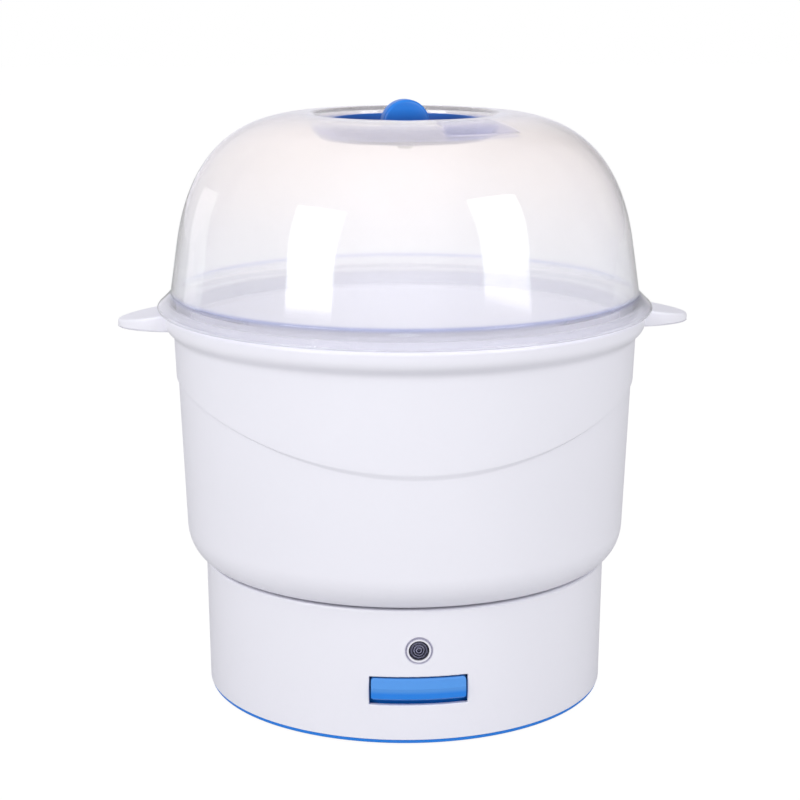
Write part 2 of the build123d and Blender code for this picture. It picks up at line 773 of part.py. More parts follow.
tab_length = 6.0
tab_heights = [switch_top - 7.5, switch_top - 3.0]
with BuildPart() as switch_tabs:
    with BuildSketch(Plane.XZ.offset(-switch_back)):
        with Locations(*[(switch_x, z) for z in tab_heights]):
            Rectangle(4.0, 0.8)
    extrude(amount=-tab_length)
switch_tabs.part.label = "switch_tabs"
export_step(switch_tabs.part, "parts/switch_tabs.step")

# Pilot lamp: bezel with its sleeve, ribbed lens, holder and neon tube
bezel_front = wall_radius(lamp_z) + 0.1
sleeve_length = 10.0
lens_front = bezel_front - 0.7
lens_thickness = 1.6
lens_pitch = 1.1
lens_ridge = 0.5

with BuildPart() as lamp_bezel:
    with BuildSketch(Plane.XZ.offset(lamp_seat)):
        with Locations((0, lamp_z)):
            Circle(bezel_radius)
    extrude(amount=bezel_front - lamp_seat)
    with BuildSketch(Plane.XZ.offset(bezel_front - sleeve_length)):
        with Locations((0, lamp_z)):
            Circle(sleeve_radius)
    extrude(amount=sleeve_length - 0.2)
    with BuildSketch(Plane.XZ.offset(bezel_front - sleeve_length)):
        with Locations((0, lamp_z)):
            Circle(lens_radius + 0.05)
    extrude(amount=sleeve_length, mode=Mode.SUBTRACT)
lamp_bezel.part.label = "lamp_bezel"
export_step(lamp_bezel.part, "parts/lamp_bezel.step")

with BuildPart() as lamp_lens:
    with BuildSketch(Plane.XZ.offset(lens_front - lens_thickness)):
        with Locations((0, lamp_z)):
            Circle(lens_radius)
    extrude(amount=lens_thickness - lens_ridge)
    ring_outer = lens_radius - 0.3
    while ring_outer > lens_pitch:
        with BuildSketch(Plane.XZ.offset(lens_front - lens_ridge)):
            with Locations((0, lamp_z)):
                Circle(ring_outer)
                Circle(ring_outer - lens_pitch / 2, mode=Mode.SUBTRACT)
        extrude(amount=lens_ridge)
        ring_outer -= lens_pitch
lamp_lens.part.label = "lamp_lens"
export_step(lamp_lens.part, "parts/lamp_lens.step")

holder_front = lens_front - lens_thickness
holder_length = 9.5
neon_radius = 2.6
with BuildPart() as lamp_holder:
    with BuildSketch(Plane.XZ.offset(holder_front - holder_length)):
        with Locations((0, lamp_z)):
            Circle(lens_radius)
    extrude(amount=holder_length)
    with BuildSketch(Plane.XZ.offset(holder_front - holder_length + 2.0)):
        with Locations((0, lamp_z)):
            Circle(lens_radius - 0.9)
    extrude(amount=holder_length, mode=Mode.SUBTRACT)
    with BuildSketch(Plane.XZ.offset(holder_front - holder_length)):
        with Locations((0, lamp_z)):
            Circle(neon_radius)
    extrude(amount=holder_length, mode=Mode.SUBTRACT)
lamp_holder.part.label = "lamp_holder"
export_step(lamp_holder.part, "parts/lamp_holder.step")

with BuildPart() as neon_lamp:
    with BuildSketch(Plane.XZ.offset(holder_front - holder_length)):
        with Locations((0, lamp_z)):
            Circle(neon_radius)
    extrude(amount=holder_length - 1.0)
    fillet(neon_lamp.edges().group_by(Axis.Y)[0], 1.8)
neon_lamp.part.label = "neon_lamp"
export_step(neon_lamp.part, "parts/neon_lamp.step")

# Appliance inlet: flange and body in one moulding, with three blades and their tabs
with BuildPart() as inlet_socket:
    with BuildSketch(Plane.XZ.offset(-inlet_seat)):
        with Locations((0, inlet_z)):
            RectangleRounded(inlet_flange_width, inlet_flange_height, 2.5)
    extrude(amount=-inlet_flange)
    with BuildSketch(Plane.XZ.offset(-inlet_seat)):
        with Locations((0, inlet_z)):
            Rectangle(inlet_body_width, inlet_body_height)
    extrude(amount=inlet_body_depth)
    with BuildSketch(Plane.XZ.offset(-inlet_seat - inlet_flange)):
        with Locations((0, inlet_z)):
            Rectangle(inlet_mouth_width, inlet_mouth_height)
        mouth_top = inlet_z + inlet_mouth_height / 2
        with Locations((-inlet_mouth_width / 2, mouth_top), (inlet_mouth_width / 2, mouth_top)):
            Rectangle(mouth_cut, mouth_cut, rotation=45, mode=Mode.SUBTRACT)
    extrude(amount=inlet_mouth_depth, mode=Mode.SUBTRACT)
inlet_socket.part.label = "inlet_socket"
export_step(inlet_socket.part, "parts/inlet_socket.step")

mouth_floor = inlet_seat + inlet_flange - inlet_mouth_depth
blade_out = inlet_mouth_depth - 3.0
inlet_back = inlet_seat - inlet_body_depth
blade_spread = 7.0
blade_points = [(-blade_spread, inlet_z - 1.5), (blade_spread, inlet_z - 1.5), (0, inlet_z + 2.5)]
tab_out = 6.0
with BuildPart() as inlet_blades:
    with BuildSketch(Plane.XZ.offset(-mouth_floor)):
        with Locations(*blade_points):
            Rectangle(2.0, 4.0)
    extrude(amount=-blade_out)
    with BuildSketch(Plane.XZ.offset(-inlet_back)):
        with Locations(*blade_points):
            Rectangle(0.8, 4.8)
    extrude(amount=tab_out)
inlet_blades.part.label = "inlet_blades"
export_step(inlet_blades.part, "parts/inlet_blades.step")

# Thermal fuse: a small barrel in a clip against the pan's underside
fuse_radius = 2.0
fuse_length = 12.0
fuse_x = 62.0
fuse_z = pan_under - fuse_radius - 1.0
with BuildPart() as thermal_fuse:
    with BuildSketch(Plane.XZ.offset(-fuse_length / 2)):
        with Locations((fuse_x, fuse_z)):
            Circle(fuse_radius)
    extrude(amount=fuse_length)
    with BuildSketch(Plane.XZ.offset(-fuse_length / 2 - 4.0)):
        with Locations((fuse_x, fuse_z)):
            Circle(0.5)
    extrude(amount=fuse_length + 8.0)
thermal_fuse.part.label = "thermal_fuse"
export_step(thermal_fuse.part, "parts/thermal_fuse.step")

with BuildPart() as fuse_clip:
    with BuildSketch(Plane.XZ.offset(-3.0)):
        with Locations((fuse_x, fuse_z)):
            Rectangle(2 * fuse_radius + 2.4, 2 * fuse_radius + 2.0)
        with Locations((fuse_x, fuse_z)):
            Circle(fuse_radius + 0.02, mode=Mode.SUBTRACT)
    extrude(amount=6.0)
fuse_clip.part.label = "fuse_clip"
export_step(fuse_clip.part, "parts/fuse_clip.step")

# Inner wires: each runs straight out of one tab and bends gently to the next
wire_radius = 1.1
tab_end = inlet_back - tab_out
switch_tab_end = switch_back + tab_length
fuse_lead_end = fuse_length / 2 + 4.0
terminal_low = element_low + 1.0 - terminal_drop
stud_low = pan_top - pan_sheet - stud_length
earth_stud = stud_points[1]


def bend_radii(points):
    """Radius of the arc at each inner point: as large as its two runs allow."""
    radii = []
    for before, here, after in zip(points, points[1:], points[2:]):
        run_in = Vector(here) - Vector(before)
        run_out = Vector(after) - Vector(here)
        turn = run_in.get_angle(run_out)
        shorter = min(run_in.length, run_out.length)
        radii.append(0.45 * shorter / tan(radians(turn / 2)))
    return radii


def wire(points, name):
    """A round wire along straight runs joined by tangent arcs."""
    radii = bend_radii(points)
    print(name, "bend radii", [round(r, 1) for r in radii])
    with BuildPart() as tube:
        with BuildLine() as route:
            FilletPolyline(*points, radius=radii)
        with BuildSketch(Plane(origin=route.line @ 0, z_dir=route.line % 0)):
            Circle(wire_radius)
        sweep(path=route.line)
    route_length = sum(edge.length for edge in route.edges())
    print(name, "volume share", round(tube.part.volume / (pi * wire_radius**2 * route_length), 4))
    tube.part.label = name
    export_step(tube.part, f"parts/{name}.step")


floor_run = housing_low + 7.0
straight = 6.0             # each wire leaves its tab along the tab
wire(
    [
        (blade_points[0][0], tab_end, blade_points[0][1]),
        (blade_points[0][0], tab_end - straight, blade_points[0][1]),
        (-13, tab_end - 18, inlet_z - 8),
        (-27, tab_end - 34, floor_run + 6),
        (-35, 12, floor_run),
        (-32, -16, floor_run - 1),
        (-17, -33, floor_run + 1),
        (switch_x, switch_tab_end + 2 * straight, tab_heights[1]),
        (switch_x, switch_tab_end, tab_heights[1]),
    ],
    "live_wire",
)
wire(
    [
        (switch_x, switch_tab_end, tab_heights[0]),
        (switch_x, switch_tab_end + straight, tab_heights[0]),
        (10, switch_tab_end + 15, floor_run - 2),
        (32, -42, floor_run + 2),
        (51, -36, floor_run + 14),
        (fuse_x, -22, fuse_z - 4),
        (fuse_x, -fuse_lead_end - straight, fuse_z),
        (fuse_x, -fuse_lead_end, fuse_z),
    ],
    "fuse_wire",
)
wire(
    [
        (fuse_x, fuse_lead_end, fuse_z),
        (fuse_x, fuse_lead_end + straight, fuse_z),
        (fuse_x - 4, fuse_lead_end + 16, fuse_z - 6),
        (46, 38, terminal_low - 8),
        (30, 43, terminal_low - 12),
        (terminal_points[1][0], terminal_points[1][1], terminal_low - straight),
        (terminal_points[1][0], terminal_points[1][1], terminal_low),
    ],
    "element_wire",
)
wire(
    [
        (terminal_points[0][0], terminal_points[0][1], terminal_low),
        (terminal_points[0][0], terminal_points[0][1], terminal_low - straight),
        (-9, terminal_points[0][1] + 11, terminal_low - 11),
        (5, terminal_points[0][1] + 19, inlet_z - 5),
        (blade_points[1][0], tab_end - straight, blade_points[1][1]),
        (blade_points[1][0], tab_end, blade_points[1][1]),
    ],
    "neutral_wire",
)
wire(
    [
        (blade_points[2][0], tab_end, blade_points[2][1]),
        (blade_points[2][0], tab_end - straight, blade_points[2][1]),
        (-8, tab_end - 12, blade_points[2][1] + 1),
        (-24, tab_end - 10, blade_points[2][1] + 2),
        (earth_stud[0] + 7, earth_stud[1] - 8, blade_points[2][1] + 3),
        (earth_stud[0], earth_stud[1], stud_low - straight),
        (earth_stud[0], earth_stud[1], stud_low),
    ],
    "earth_wire",
)

# Tub: one turned profile with the round bottom, the bead, the step and the collar
collar_radius = nest_radius - collar_gap
corner_centre = tub_low_radius - tub_corner_r
collar_low = deck_top - collar_drop
seat_radius = nest_radius + housing_wall
bead_round = 3.0
bead_turn = 5.2            # the bead's underside has swung upright this far above its foot

with BuildPart() as tub:
    with BuildSketch(Plane.XZ):
        with BuildLine():
            EllipticalCenterArc(
                (corner_centre, corner_top), tub_corner_r, tub_corner_z, start_angle=270, arc_size=90
            )
            Line((tub_low_radius, corner_top), (tub_top_radius, bead_low))
            Spline(
                (tub_top_radius, bead_low),
                (rim_radius - bead_round / 2, bead_low + bead_turn),
                (rim_radius, rim_top - bead_round),
                tangents=[(0.25, 1.0), (0.0, 1.0)],
            )
            RadiusArc(
                (rim_radius, rim_top - bead_round),
                (rim_radius - bead_round / 2, rim_top),
                -bead_round * 1.1,
            )
            Polyline(
                (rim_radius - bead_round / 2, rim_top),
                (rim_step_radius, rim_top),
                (rim_step_radius, step_z),
                (tub_top_radius - tub_wall, step_z - rim_step_width),
                (tub_top_radius - tub_wall, bead_low),
                (tub_low_radius - tub_wall, corner_top),
            )
            EllipticalCenterArc(
                (corner_centre, corner_top),
                tub_corner_r - tub_wall,
                tub_corner_z - tub_wall,
                start_angle=270,
                arc_size=90,
            )
            Polyline(
                (corner_centre, tub_floor),
                (collar_radius - collar_wall, tub_floor),
                (collar_radius - collar_wall, collar_low),
                (collar_radius, collar_low),
                (collar_radius, deck_top),
                (seat_radius, deck_top),
                (seat_radius, tub_under),
                (corner_centre, tub_under),
            )
        make_face()
    revolve(axis=Axis.Z)
tub.part.label = "tub"
export_step(tub.part, "parts/tub.step")

ear_root = rim_radius - bead_round
ear_tip = ear_root + ear_length
ear_top_z = rim_top - ear_drop
hollow_inner = rim_radius + 0.6


def ear(inset, deeper):
    """The ear at +X, half an ellipse in plan: smaller by inset, and lower at the bottom by deeper."""
    top = ear_top_z - inset
    low_root = ear_top_z - ear_root_thickness - deeper
    low_tip = ear_top_z - ear_slope - ear_tip_thickness - deeper
    lowest = min(low_root, low_tip)
    with BuildPart() as tab:
        with BuildSketch(Plane.XY.offset(lowest)):
            with Locations((ear_root, 0)):
                Ellipse(ear_length - inset, ear_half - inset)
            with Locations((ear_root + ear_length / 2, 0)):
                Rectangle(ear_length, 2 * ear_half, mode=Mode.INTERSECT)
        extrude(amount=ear_top_z - lowest)
        with BuildSketch(Plane.XZ):
            with BuildLine():
                Polyline(
                    (ear_root, top),
                    (ear_tip, top - ear_slope),
                    (ear_tip, low_tip),
                    (ear_root, low_root),
                    close=True,
                )
            make_face()
        extrude(amount=ear_half, both=True, mode=Mode.INTERSECT)
    return tab.part


with BuildPart() as ear_pocket:
    add(ear(ear_shell, ear_shell))
    with BuildSketch(Plane.XY.offset(bead_low - rim_height)):
        Circle(hollow_inner)
    extrude(amount=3 * rim_height, mode=Mode.SUBTRACT)

# Ears: two hollow tabs moulded to the bead
with BuildPart() as tub_ears:
    add(ear(0.0, 0.0))
    add(ear_pocket.part, mode=Mode.SUBTRACT)
    add(tub.part, mode=Mode.SUBTRACT)
    mirror(about=Plane.YZ)
tub_ears.part.label = "tub_ears"
export_step(tub_ears.part, "parts/tub_ears.step")

# Bottle rack: a perforated disc with a raised edge and a ring for each bottle
rack_z = tub_floor + rack_foot
rack_top = rack_z + rack_sheet
rack_foot_radius = collar_radius + 2.0
rack_radius = corner_centre - rack_inset
half_step = sin(pi / bottle_count)
bottle_ring = half_step * (rack_radius - bottle_ring_gap) - bottle_ring_gap / 2
bottle_ring /= 1 + half_step
bottle_circle = rack_radius - bottle_ring_gap - bottle_ring
ring_wall = 1.8
ring_height = 3.0
foot_ring_width = 2.0
first_bottle = 30.0
column_wall = 2.0
column_roof = 3.0
peg_round = 1.5
drain_circle = 17.0
drain_radius = 4.2
drain_count = 8
grip_height = 6.0

with BuildPart() as bottle_rack:
    with BuildSketch(Plane.XY.offset(rack_z)):
        Circle(rack_radius)
        Circle(column_radius - column_wall, mode=Mode.SUBTRACT)
    extrude(amount=rack_sheet)
    with BuildSketch(Plane.XY.offset(rack_z)):
        Circle(rack_radius)
        Circle(rack_radius - rack_sheet, mode=Mode.SUBTRACT)
    extrude(amount=rack_edge)
    with BuildSketch(Plane.XY.offset(rack_top)):
        with PolarLocations(bottle_circle, bottle_count, start_angle=first_bottle):
            Circle(bottle_ring)
            Circle(bottle_ring - ring_wall, mode=Mode.SUBTRACT)
    extrude(amount=ring_height)
    with BuildSketch(Plane.XY.offset(rack_z)):
        with PolarLocations(bottle_circle, bottle_count, start_angle=first_bottle):
            with PolarLocations(drain_circle, drain_count):
                Circle(drain_radius)
    extrude(amount=rack_sheet, mode=Mode.SUBTRACT)
bottle_rack.part.label = "bottle_rack"
export_step(bottle_rack.part, "parts/bottle_rack.step")

# The rack's foot ring, its pegs and its lift column stand on or under the disc
with BuildPart() as rack_foot_ring:
    with BuildSketch(Plane.XY.offset(tub_floor)):
        Circle(rack_foot_radius + foot_ring_width)
        Circle(rack_foot_radius, mode=Mode.SUBTRACT)
    extrude(amount=rack_foot)
rack_foot_ring.part.label = "rack_foot_ring"
export_step(rack_foot_ring.part, "parts/rack_foot_ring.step")

with BuildPart() as rack_pegs:
    with BuildSketch(Plane.XY.offset(rack_top)):
        with PolarLocations(bottle_circle, bottle_count, start_angle=first_bottle):
            Circle(peg_radius)
    extrude(amount=peg_height, taper=0.8)
    fillet(rack_pegs.edges().group_by(Axis.Z)[-1], peg_round)
rack_pegs.part.label = "rack_pegs"
export_step(rack_pegs.part, "parts/rack_pegs.step")

with BuildPart() as rack_column:
    with BuildSketch(Plane.XY.offset(rack_top)):
        Circle(column_radius)
    extrude(amount=column_height)
    with BuildSketch(Plane.XY.offset(rack_top + column_height)):
        Circle(grip_radius)
    extrude(amount=grip_height)
    fillet(rack_column.edges().group_by(Axis.Z)[-1], 2.4)
    with BuildSketch(Plane.XY.offset(rack_top)):
        Circle(column_radius - column_wall)
    extrude(amount=column_height - column_roof, mode=Mode.SUBTRACT)
rack_column.part.label = "rack_column"
export_step(rack_column.part, "parts/rack_column.step")

# Lid: flared brim, straight side, dome and well in one wall of even thickness
lid_foot = rim_top + foot_rise
shoulder_z = rim_top + shoulder_height
dome_top = shoulder_z + dome_rise
crest_z = dome_top - crest_round
skirt_radius = rim_step_radius - skirt_gap
skirt_low = rim_top - skirt_drop
skirt_wall = 2.0
lid_seat = 2.4             # width of the lid's flat seat on the rim
brim_gap = 0.6             # between the brim's edge and the rim
flange_radius = rim_radius + brim_overhang
foot_radius = skirt_radius + lid_seat + 0.3
shoulder_radius = foot_radius - side_lean
dome_span = shoulder_radius - crest_radius
well_lip = crest_radius - crest_round
well_floor_radius = well_lip - well_side
well_fall = crest_z - well_floor
brim_round = 0.6
brim_top = rim_top + brim_gap + brim_lip + 0.5
flare_reach = flange_radius - brim_round - foot_radius
flare_rise = lid_foot - brim_top
under_radius = flange_radius - brim_round - 1.5

with BuildPart() as lid_shell:
    with BuildSketch(Plane.XZ):
        with BuildLine():
            Polyline(
                (flange_radius - brim_round, rim_top + brim_gap),
                (flange_radius, rim_top + brim_gap + 0.5),
                (flange_radius, brim_top - brim_round - 0.3),
                (flange_radius - brim_round, brim_top),
            )
            Bezier(
                (flange_radius - brim_round, brim_top),
                (foot_radius + 0.4 * flare_reach, brim_top + 0.3 * flare_rise),
                (foot_radius + 0.04 * flare_reach, brim_top + 0.5 * flare_rise),
                (foot_radius, lid_foot),
            )
            Line((foot_radius, lid_foot), (shoulder_radius, shoulder_z))
            EllipticalCenterArc(
                (crest_radius, shoulder_z), dome_span, dome_rise, start_angle=0, arc_size=90
            )
            RadiusArc((crest_radius, dome_top), (well_lip, crest_z), -crest_round)
            EllipticalCenterArc(
                (well_floor_radius, crest_z), well_side, well_fall, start_angle=270, arc_size=90
            )
            Polyline(
                (well_floor_radius, well_floor),
                (0, well_floor),
                (0, well_floor - lid_wall),
                (well_floor_radius, well_floor - lid_wall),
            )
            EllipticalCenterArc(
                (well_floor_radius, crest_z),
                well_side + lid_wall,
                well_fall + lid_wall,
                start_angle=270,
                arc_size=90,
            )
            RadiusArc(
                (well_lip + lid_wall, crest_z),
                (crest_radius, dome_top - lid_wall),
                crest_round - lid_wall,
            )
            EllipticalCenterArc(
                (crest_radius, shoulder_z),
                dome_span - lid_wall,
                dome_rise - lid_wall,
                start_angle=0,
                arc_size=90,
            )
            Polyline(
                (shoulder_radius - lid_wall, shoulder_z),
                (foot_radius - lid_wall, lid_foot),
                (skirt_radius - skirt_wall, lid_foot - 2 * lid_wall),
                (skirt_radius - skirt_wall, skirt_low),
                (skirt_radius, skirt_low),
                (skirt_radius, rim_top),
                (skirt_radius + lid_seat, rim_top),
                (skirt_radius + lid_seat, brim_top + 0.25 * flare_rise),
                (under_radius, rim_top + brim_gap + 0.6),
                (under_radius, rim_top + brim_gap),
                (flange_radius - brim_round, rim_top + brim_gap),
            )
        make_face()
    revolve(axis=Axis.Z)
    with BuildSketch(Plane.XY.offset(well_floor - lid_wall)):
        Circle(grip_screw_radius + slip)
    extrude(amount=lid_wall, mode=Mode.SUBTRACT)

# The well and the crest round it are a sub-part of their own, inside the dome's top opening
with BuildPart() as lid_well:
    add(lid_shell.part)
    with BuildSketch(Plane.XY.offset(shoulder_z)):
        Circle(crest_radius)
    extrude(amount=2 * dome_rise, mode=Mode.INTERSECT)
lid_well.part.label = "lid_well"
export_step(lid_well.part, "parts/lid_well.step")

with BuildPart() as lid_dome:
    add(lid_shell.part)
    with BuildSketch(Plane.XY.offset(shoulder_z)):
        Circle(crest_radius)
    extrude(amount=2 * dome_rise, mode=Mode.SUBTRACT)
lid_dome.part.label = "lid_dome"
export_step(lid_dome.part, "parts/lid_dome.step")

# Grip: a dish that sits in the well, with an upright half-round fin across it
dish_radius = well_floor_radius - dish_inset
dish_low_radius = dish_radius - dish_flare
with BuildPart() as lid_grip:
    with BuildSketch(Plane.XZ):
        with BuildLine():
            Polyline(
                (0, well_floor),
                (dish_low_radius, well_floor),
                (dish_radius, well_floor + dish_height),
                (dish_radius - dish_sheet, well_floor + dish_height),
                (dish_low_radius - dish_sheet, well_floor + dish_sheet),
                (0, well_floor + dish_sheet),
                close=True,
            )
        make_face()
    revolve(axis=Axis.Z)
    rim_ring = lid_grip.edges().group_by(Axis.Z)[-1]
    fillet(rim_ring, 0.8)
    fin_plane = Plane.XZ.rotated((0, 0, fin_turn))
    with BuildSketch(fin_plane):
        with Locations((0, well_floor + fin_top - fin_radius)):
            Circle(fin_radius)
        with Locations((0, well_floor + fin_top / 2)):
            Rectangle(2 * fin_radius, fin_top, mode=Mode.INTERSECT)
        with Locations((0, well_floor + (fin_top - fin_radius) / 2)):
            Rectangle(2 * fin_radius, fin_top - fin_radius)
    extrude(amount=fin_thickness / 2, both=True)
    with BuildSketch(Plane.XY.offset(well_floor)):
        Circle(grip_screw_radius - 0.05)
    extrude(amount=fin_top - fin_roof, mode=Mode.SUBTRACT)
lid_grip.part.label = "lid_grip"
export_step(lid_grip.part, "parts/lid_grip.step")

washer_top = well_floor - lid_wall
with BuildPart() as grip_washer:
    with BuildSketch(Plane.XY.offset(washer_top - washer_height)):
        Circle(washer_radius)
        Circle(grip_screw_radius + slip, mode=Mode.SUBTRACT)
    extrude(amount=washer_height)
    chamfer(grip_washer.edges().group_by(Axis.Z)[0].sort_by(SortBy.RADIUS)[-1], 0.6)
grip_washer.part.label = "grip_washer"
export_step(grip_washer.part, "parts/grip_washer.step")

screw_seat = washer_top - washer_height
with BuildPart() as grip_screw:
    with BuildSketch(Plane.XY.offset(screw_seat)):
        Circle(screw_head_radius)
    extrude(amount=-grip_head_height)
    fillet(grip_screw.edges().group_by(Axis.Z)[0], 0.9)
    with BuildSketch(Plane.XY.offset(screw_seat)):
        Circle(grip_screw_radius - 0.05)
    extrude(amount=washer_height + lid_wall + fin_top - fin_roof - 2.0)
    with BuildSketch(Plane.XY.offset(screw_seat - grip_head_height)):
        Rectangle(cross_length + 0.6, cross_width)
        Rectangle(cross_width, cross_length + 0.6)
    extrude(amount=cross_depth, mode=Mode.SUBTRACT)
grip_screw.part.label = "grip_screw"
export_step(grip_screw.part, "parts/grip_screw.step")

press_angle = degrees(magnet_lift / -pivot_y)
print("key travel in degrees", round(press_angle, 3), "and mm", round(key_arm * radians(press_angle), 3))
print("magnet room", round(cup_roof - ferrite_height - holder_top - magnet_height, 3))
print("pivot", round(pivot_y, 3), round(pivot_z, 3), "switch button", round(switch_y, 3))
print("spring fixed end", round(cup_roof, 3), "height of the whole", round(well_floor + fin_top, 3))
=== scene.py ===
"""Looks of an electric steam sterilizer for baby bottles: its surfaces, finishes, light and camera."""

import json
import math

import bpy
import numpy as np
from mathutils import Matrix, Vector


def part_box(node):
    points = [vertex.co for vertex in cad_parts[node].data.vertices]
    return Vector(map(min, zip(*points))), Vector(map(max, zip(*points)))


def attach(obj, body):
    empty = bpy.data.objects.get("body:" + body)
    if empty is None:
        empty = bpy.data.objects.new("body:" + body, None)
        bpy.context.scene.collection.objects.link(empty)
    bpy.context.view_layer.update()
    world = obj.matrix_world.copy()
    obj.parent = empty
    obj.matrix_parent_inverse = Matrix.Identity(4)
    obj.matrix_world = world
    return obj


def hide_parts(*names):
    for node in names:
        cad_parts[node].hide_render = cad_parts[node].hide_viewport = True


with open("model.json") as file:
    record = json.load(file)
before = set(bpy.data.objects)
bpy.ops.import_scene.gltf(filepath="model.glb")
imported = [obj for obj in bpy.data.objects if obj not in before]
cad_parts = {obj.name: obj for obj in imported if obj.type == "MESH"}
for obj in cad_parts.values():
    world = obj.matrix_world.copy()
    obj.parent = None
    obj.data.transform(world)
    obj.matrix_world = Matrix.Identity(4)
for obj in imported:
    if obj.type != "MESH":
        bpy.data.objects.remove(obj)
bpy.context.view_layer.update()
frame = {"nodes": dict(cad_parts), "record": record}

# Places read from the frame, in metres. The front is at -Y.
_, housing_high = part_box("base_housing")
deck_top = housing_high.z
tub_low, tub_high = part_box("tub")
rim_top = tub_high.z
rim_radius = tub_high.y
_, ear_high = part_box("tub_ears")
ear_tip = ear_high.x
ear_half = ear_high.y
dome_low, dome_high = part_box("lid_dome")
dome_top = dome_high.z
flange_radius = dome_high.x
grip_low, grip_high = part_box("lid_grip")
well_floor = grip_low.z
lens_low, lens_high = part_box("lamp_lens")
lamp_z = (lens_low.z + lens_high.z) / 2
lens_radius = (lens_high.z - lens_low.z) / 2
bezel_low, bezel_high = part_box("lamp_bezel")
bezel_radius = (bezel_high.z - bezel_low.z) / 2

# Tub wall
tub_wall = 0.0022
tub_low_radius = 0.1109    # outside, where the round bottom ends
tub_top_radius = 0.1146    # outside, under the rim bead
tub_corner_r = 0.014
tub_corner_z = 0.018
tub_gap = 0.0005           # the round bottom hangs this far above the deck
rim_step_radius = 0.1138
rim_step_depth = 0.008
rim_step_slope = 0.0014    # the step's seat slopes down by this to the wall's inside
rim_round = 0.0026
seat_radius = 0.093
collar_radius = 0.0898
collar_wall = 0.0022

# Bead under the rim: it curves out of the wall, then stands upright
bead_height = 0.0135
bead_upright = 0.0098      # it has its full radius from this far above its foot
bead_out = 0.0005          # its curve leaves the wall towards this far out
bead_up = 0.0042           # and this far up
bead_turn = 0.0066         # and comes upright over this height

# Swept line on the tub: the wall above it stands a little proud
sweep_low = 0.1344         # height of the line at the front and the back
sweep_reach = 0.465        # the line climbs by x * x / this
sweep_step = 0.0009
sweep_wide = 0.0018        # half height of the step at the front and the back
sweep_thin = 0.0005        # and at the two sides
sweep_span = 0.088         # the step is thin from this far off the middle

# Ears
ear_root_thickness = 0.0088
ear_tip_thickness = 0.004
ear_slope = 0.0043
ear_drop = 0.0002          # of the ear's top below the rim
ear_shell = 0.0018
ear_overlap = 0.003        # the ear starts this far inside the rim
ear_bevel = 0.0012
ear_corner = 0.0006        # cut across the corner under the ear's top

# Lid
lid_wall = 0.0022
foot_radius = 0.1168
foot_rise = 0.009          # the dome's foot above the tub's rim
foot_z = rim_top + foot_rise
foot_round = 0.0008
flare_low = (0.64, 0.32)   # the flare's handles, as shares of its reach out and of its rise
flare_high = (0.3, 0.65)
brim_gap = 0.0006
brim_high = 0.0028         # top of the brim's edge above the rim
brim_round = 0.0006
brim_flat = 0.0015         # width of the flat under the brim's edge
brim_low_slope = 0.0005    # the brim's edge slopes in by brim_round over this at the bottom
brim_high_slope = 0.0009   # and over this at the top
shoulder_radius = 0.11305
shoulder_rise = 0.034
shoulder_pull = 0.024      # the dome's curve goes on this far along the side's lean
crest_pull = 0.05          # and comes level this far outside the crest
crest_radius = 0.0477
crest_round = 0.0032
well_floor_radius = 0.038
skirt_gap = 0.0006
skirt_wall = 0.002
skirt_ledge = 0.0024       # from the skirt's outside to where the flare's underside starts

# Plain raised pad on the dome's front right shoulder
pad_turn = math.radians(-64.0)
pad_half = math.radians(15.0)
pad_inner = 0.0545
pad_outer = 0.0765
pad_proud = 0.0005
pad_slope = 0.0008         # half width of its inner and outer edges
pad_side_slope = math.radians(1.2)    # half width of its two side edges

# Lid grip
dish_radius = 0.0375
dish_flare = 0.0035
dish_height = 0.0076
dish_sheet = 0.002
fin_radius = 0.012
fin_thickness = 0.008
fin_bevel = 0.0016
fin_turn = math.radians(12.0)

ROUND = 320                # columns round a large turned piece
NUMBER, COLOUR, VECTOR = "NodeSocketFloat", "NodeSocketColor", "NodeSocketVector"


def mesh_piece(name, points, body, slot, replaced=(), ring=False, crease=35.0):
    """Makes a piece of a grid of points, turned so that its faces point outwards, riding on its body."""
    verts, faces = grid_faces(points, ring)
    tris = np.array([(f[0], f[i], f[i + 1]) for f in faces for i in range(1, len(f) - 1)])
    a, b, c = (verts[tris[:, i]] for i in range(3))
    if np.einsum("ij,ij->i", a, np.cross(b, c)).sum() < 0:
        faces = [f[::-1] for f in faces]
    mesh = bpy.data.meshes.new(name)
    mesh.from_pydata(verts.tolist(), [], faces)
    mesh.shade_smooth()
    mesh.set_sharp_from_angle(angle=math.radians(crease))
    mesh.update()
    piece = bpy.data.objects.new(name, mesh)
    bpy.context.scene.collection.objects.link(piece)
    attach(piece, body)
    if replaced:
        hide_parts(*replaced)
    piece.data.materials.append(finish[slot])


def grid_faces(points, ring):
    """Vertices and faces of a grid, rows by columns, whose columns close on themselves.

    With ring the rows close on themselves too. Without it the first and the last row are each
    one point, and fans of triangles close the two ends.
    """
    rows, columns = points.shape[:2]
    here = np.arange(columns)
    beside = (here + 1) % columns
    if ring:
        low = np.arange(rows)[:, None] * columns
        high = (np.arange(rows)[:, None] + 1) % rows * columns
        quads = np.stack([low + here, low + beside, high + beside, high + here], -1)
        return points.reshape(-1, 3), quads.reshape(-1, 4).tolist()
    verts = np.vstack([points[0, :1], points[1:-1].reshape(-1, 3), points[-1, :1]])
    low = 1 + np.arange(rows - 3)[:, None] * columns
    high = low + columns
    quads = np.stack([low + here, low + beside, high + beside, high + here], -1)
    last = len(verts) - 1
    top = 1 + (rows - 3) * columns
    first_fan = np.stack([np.zeros_like(here), 1 + beside, 1 + here], -1)
    last_fan = np.stack([np.full_like(here, last), top + here, top + beside], -1)
    return verts, quads.reshape(-1, 4).tolist() + first_fan.tolist() + last_fan.tolist()


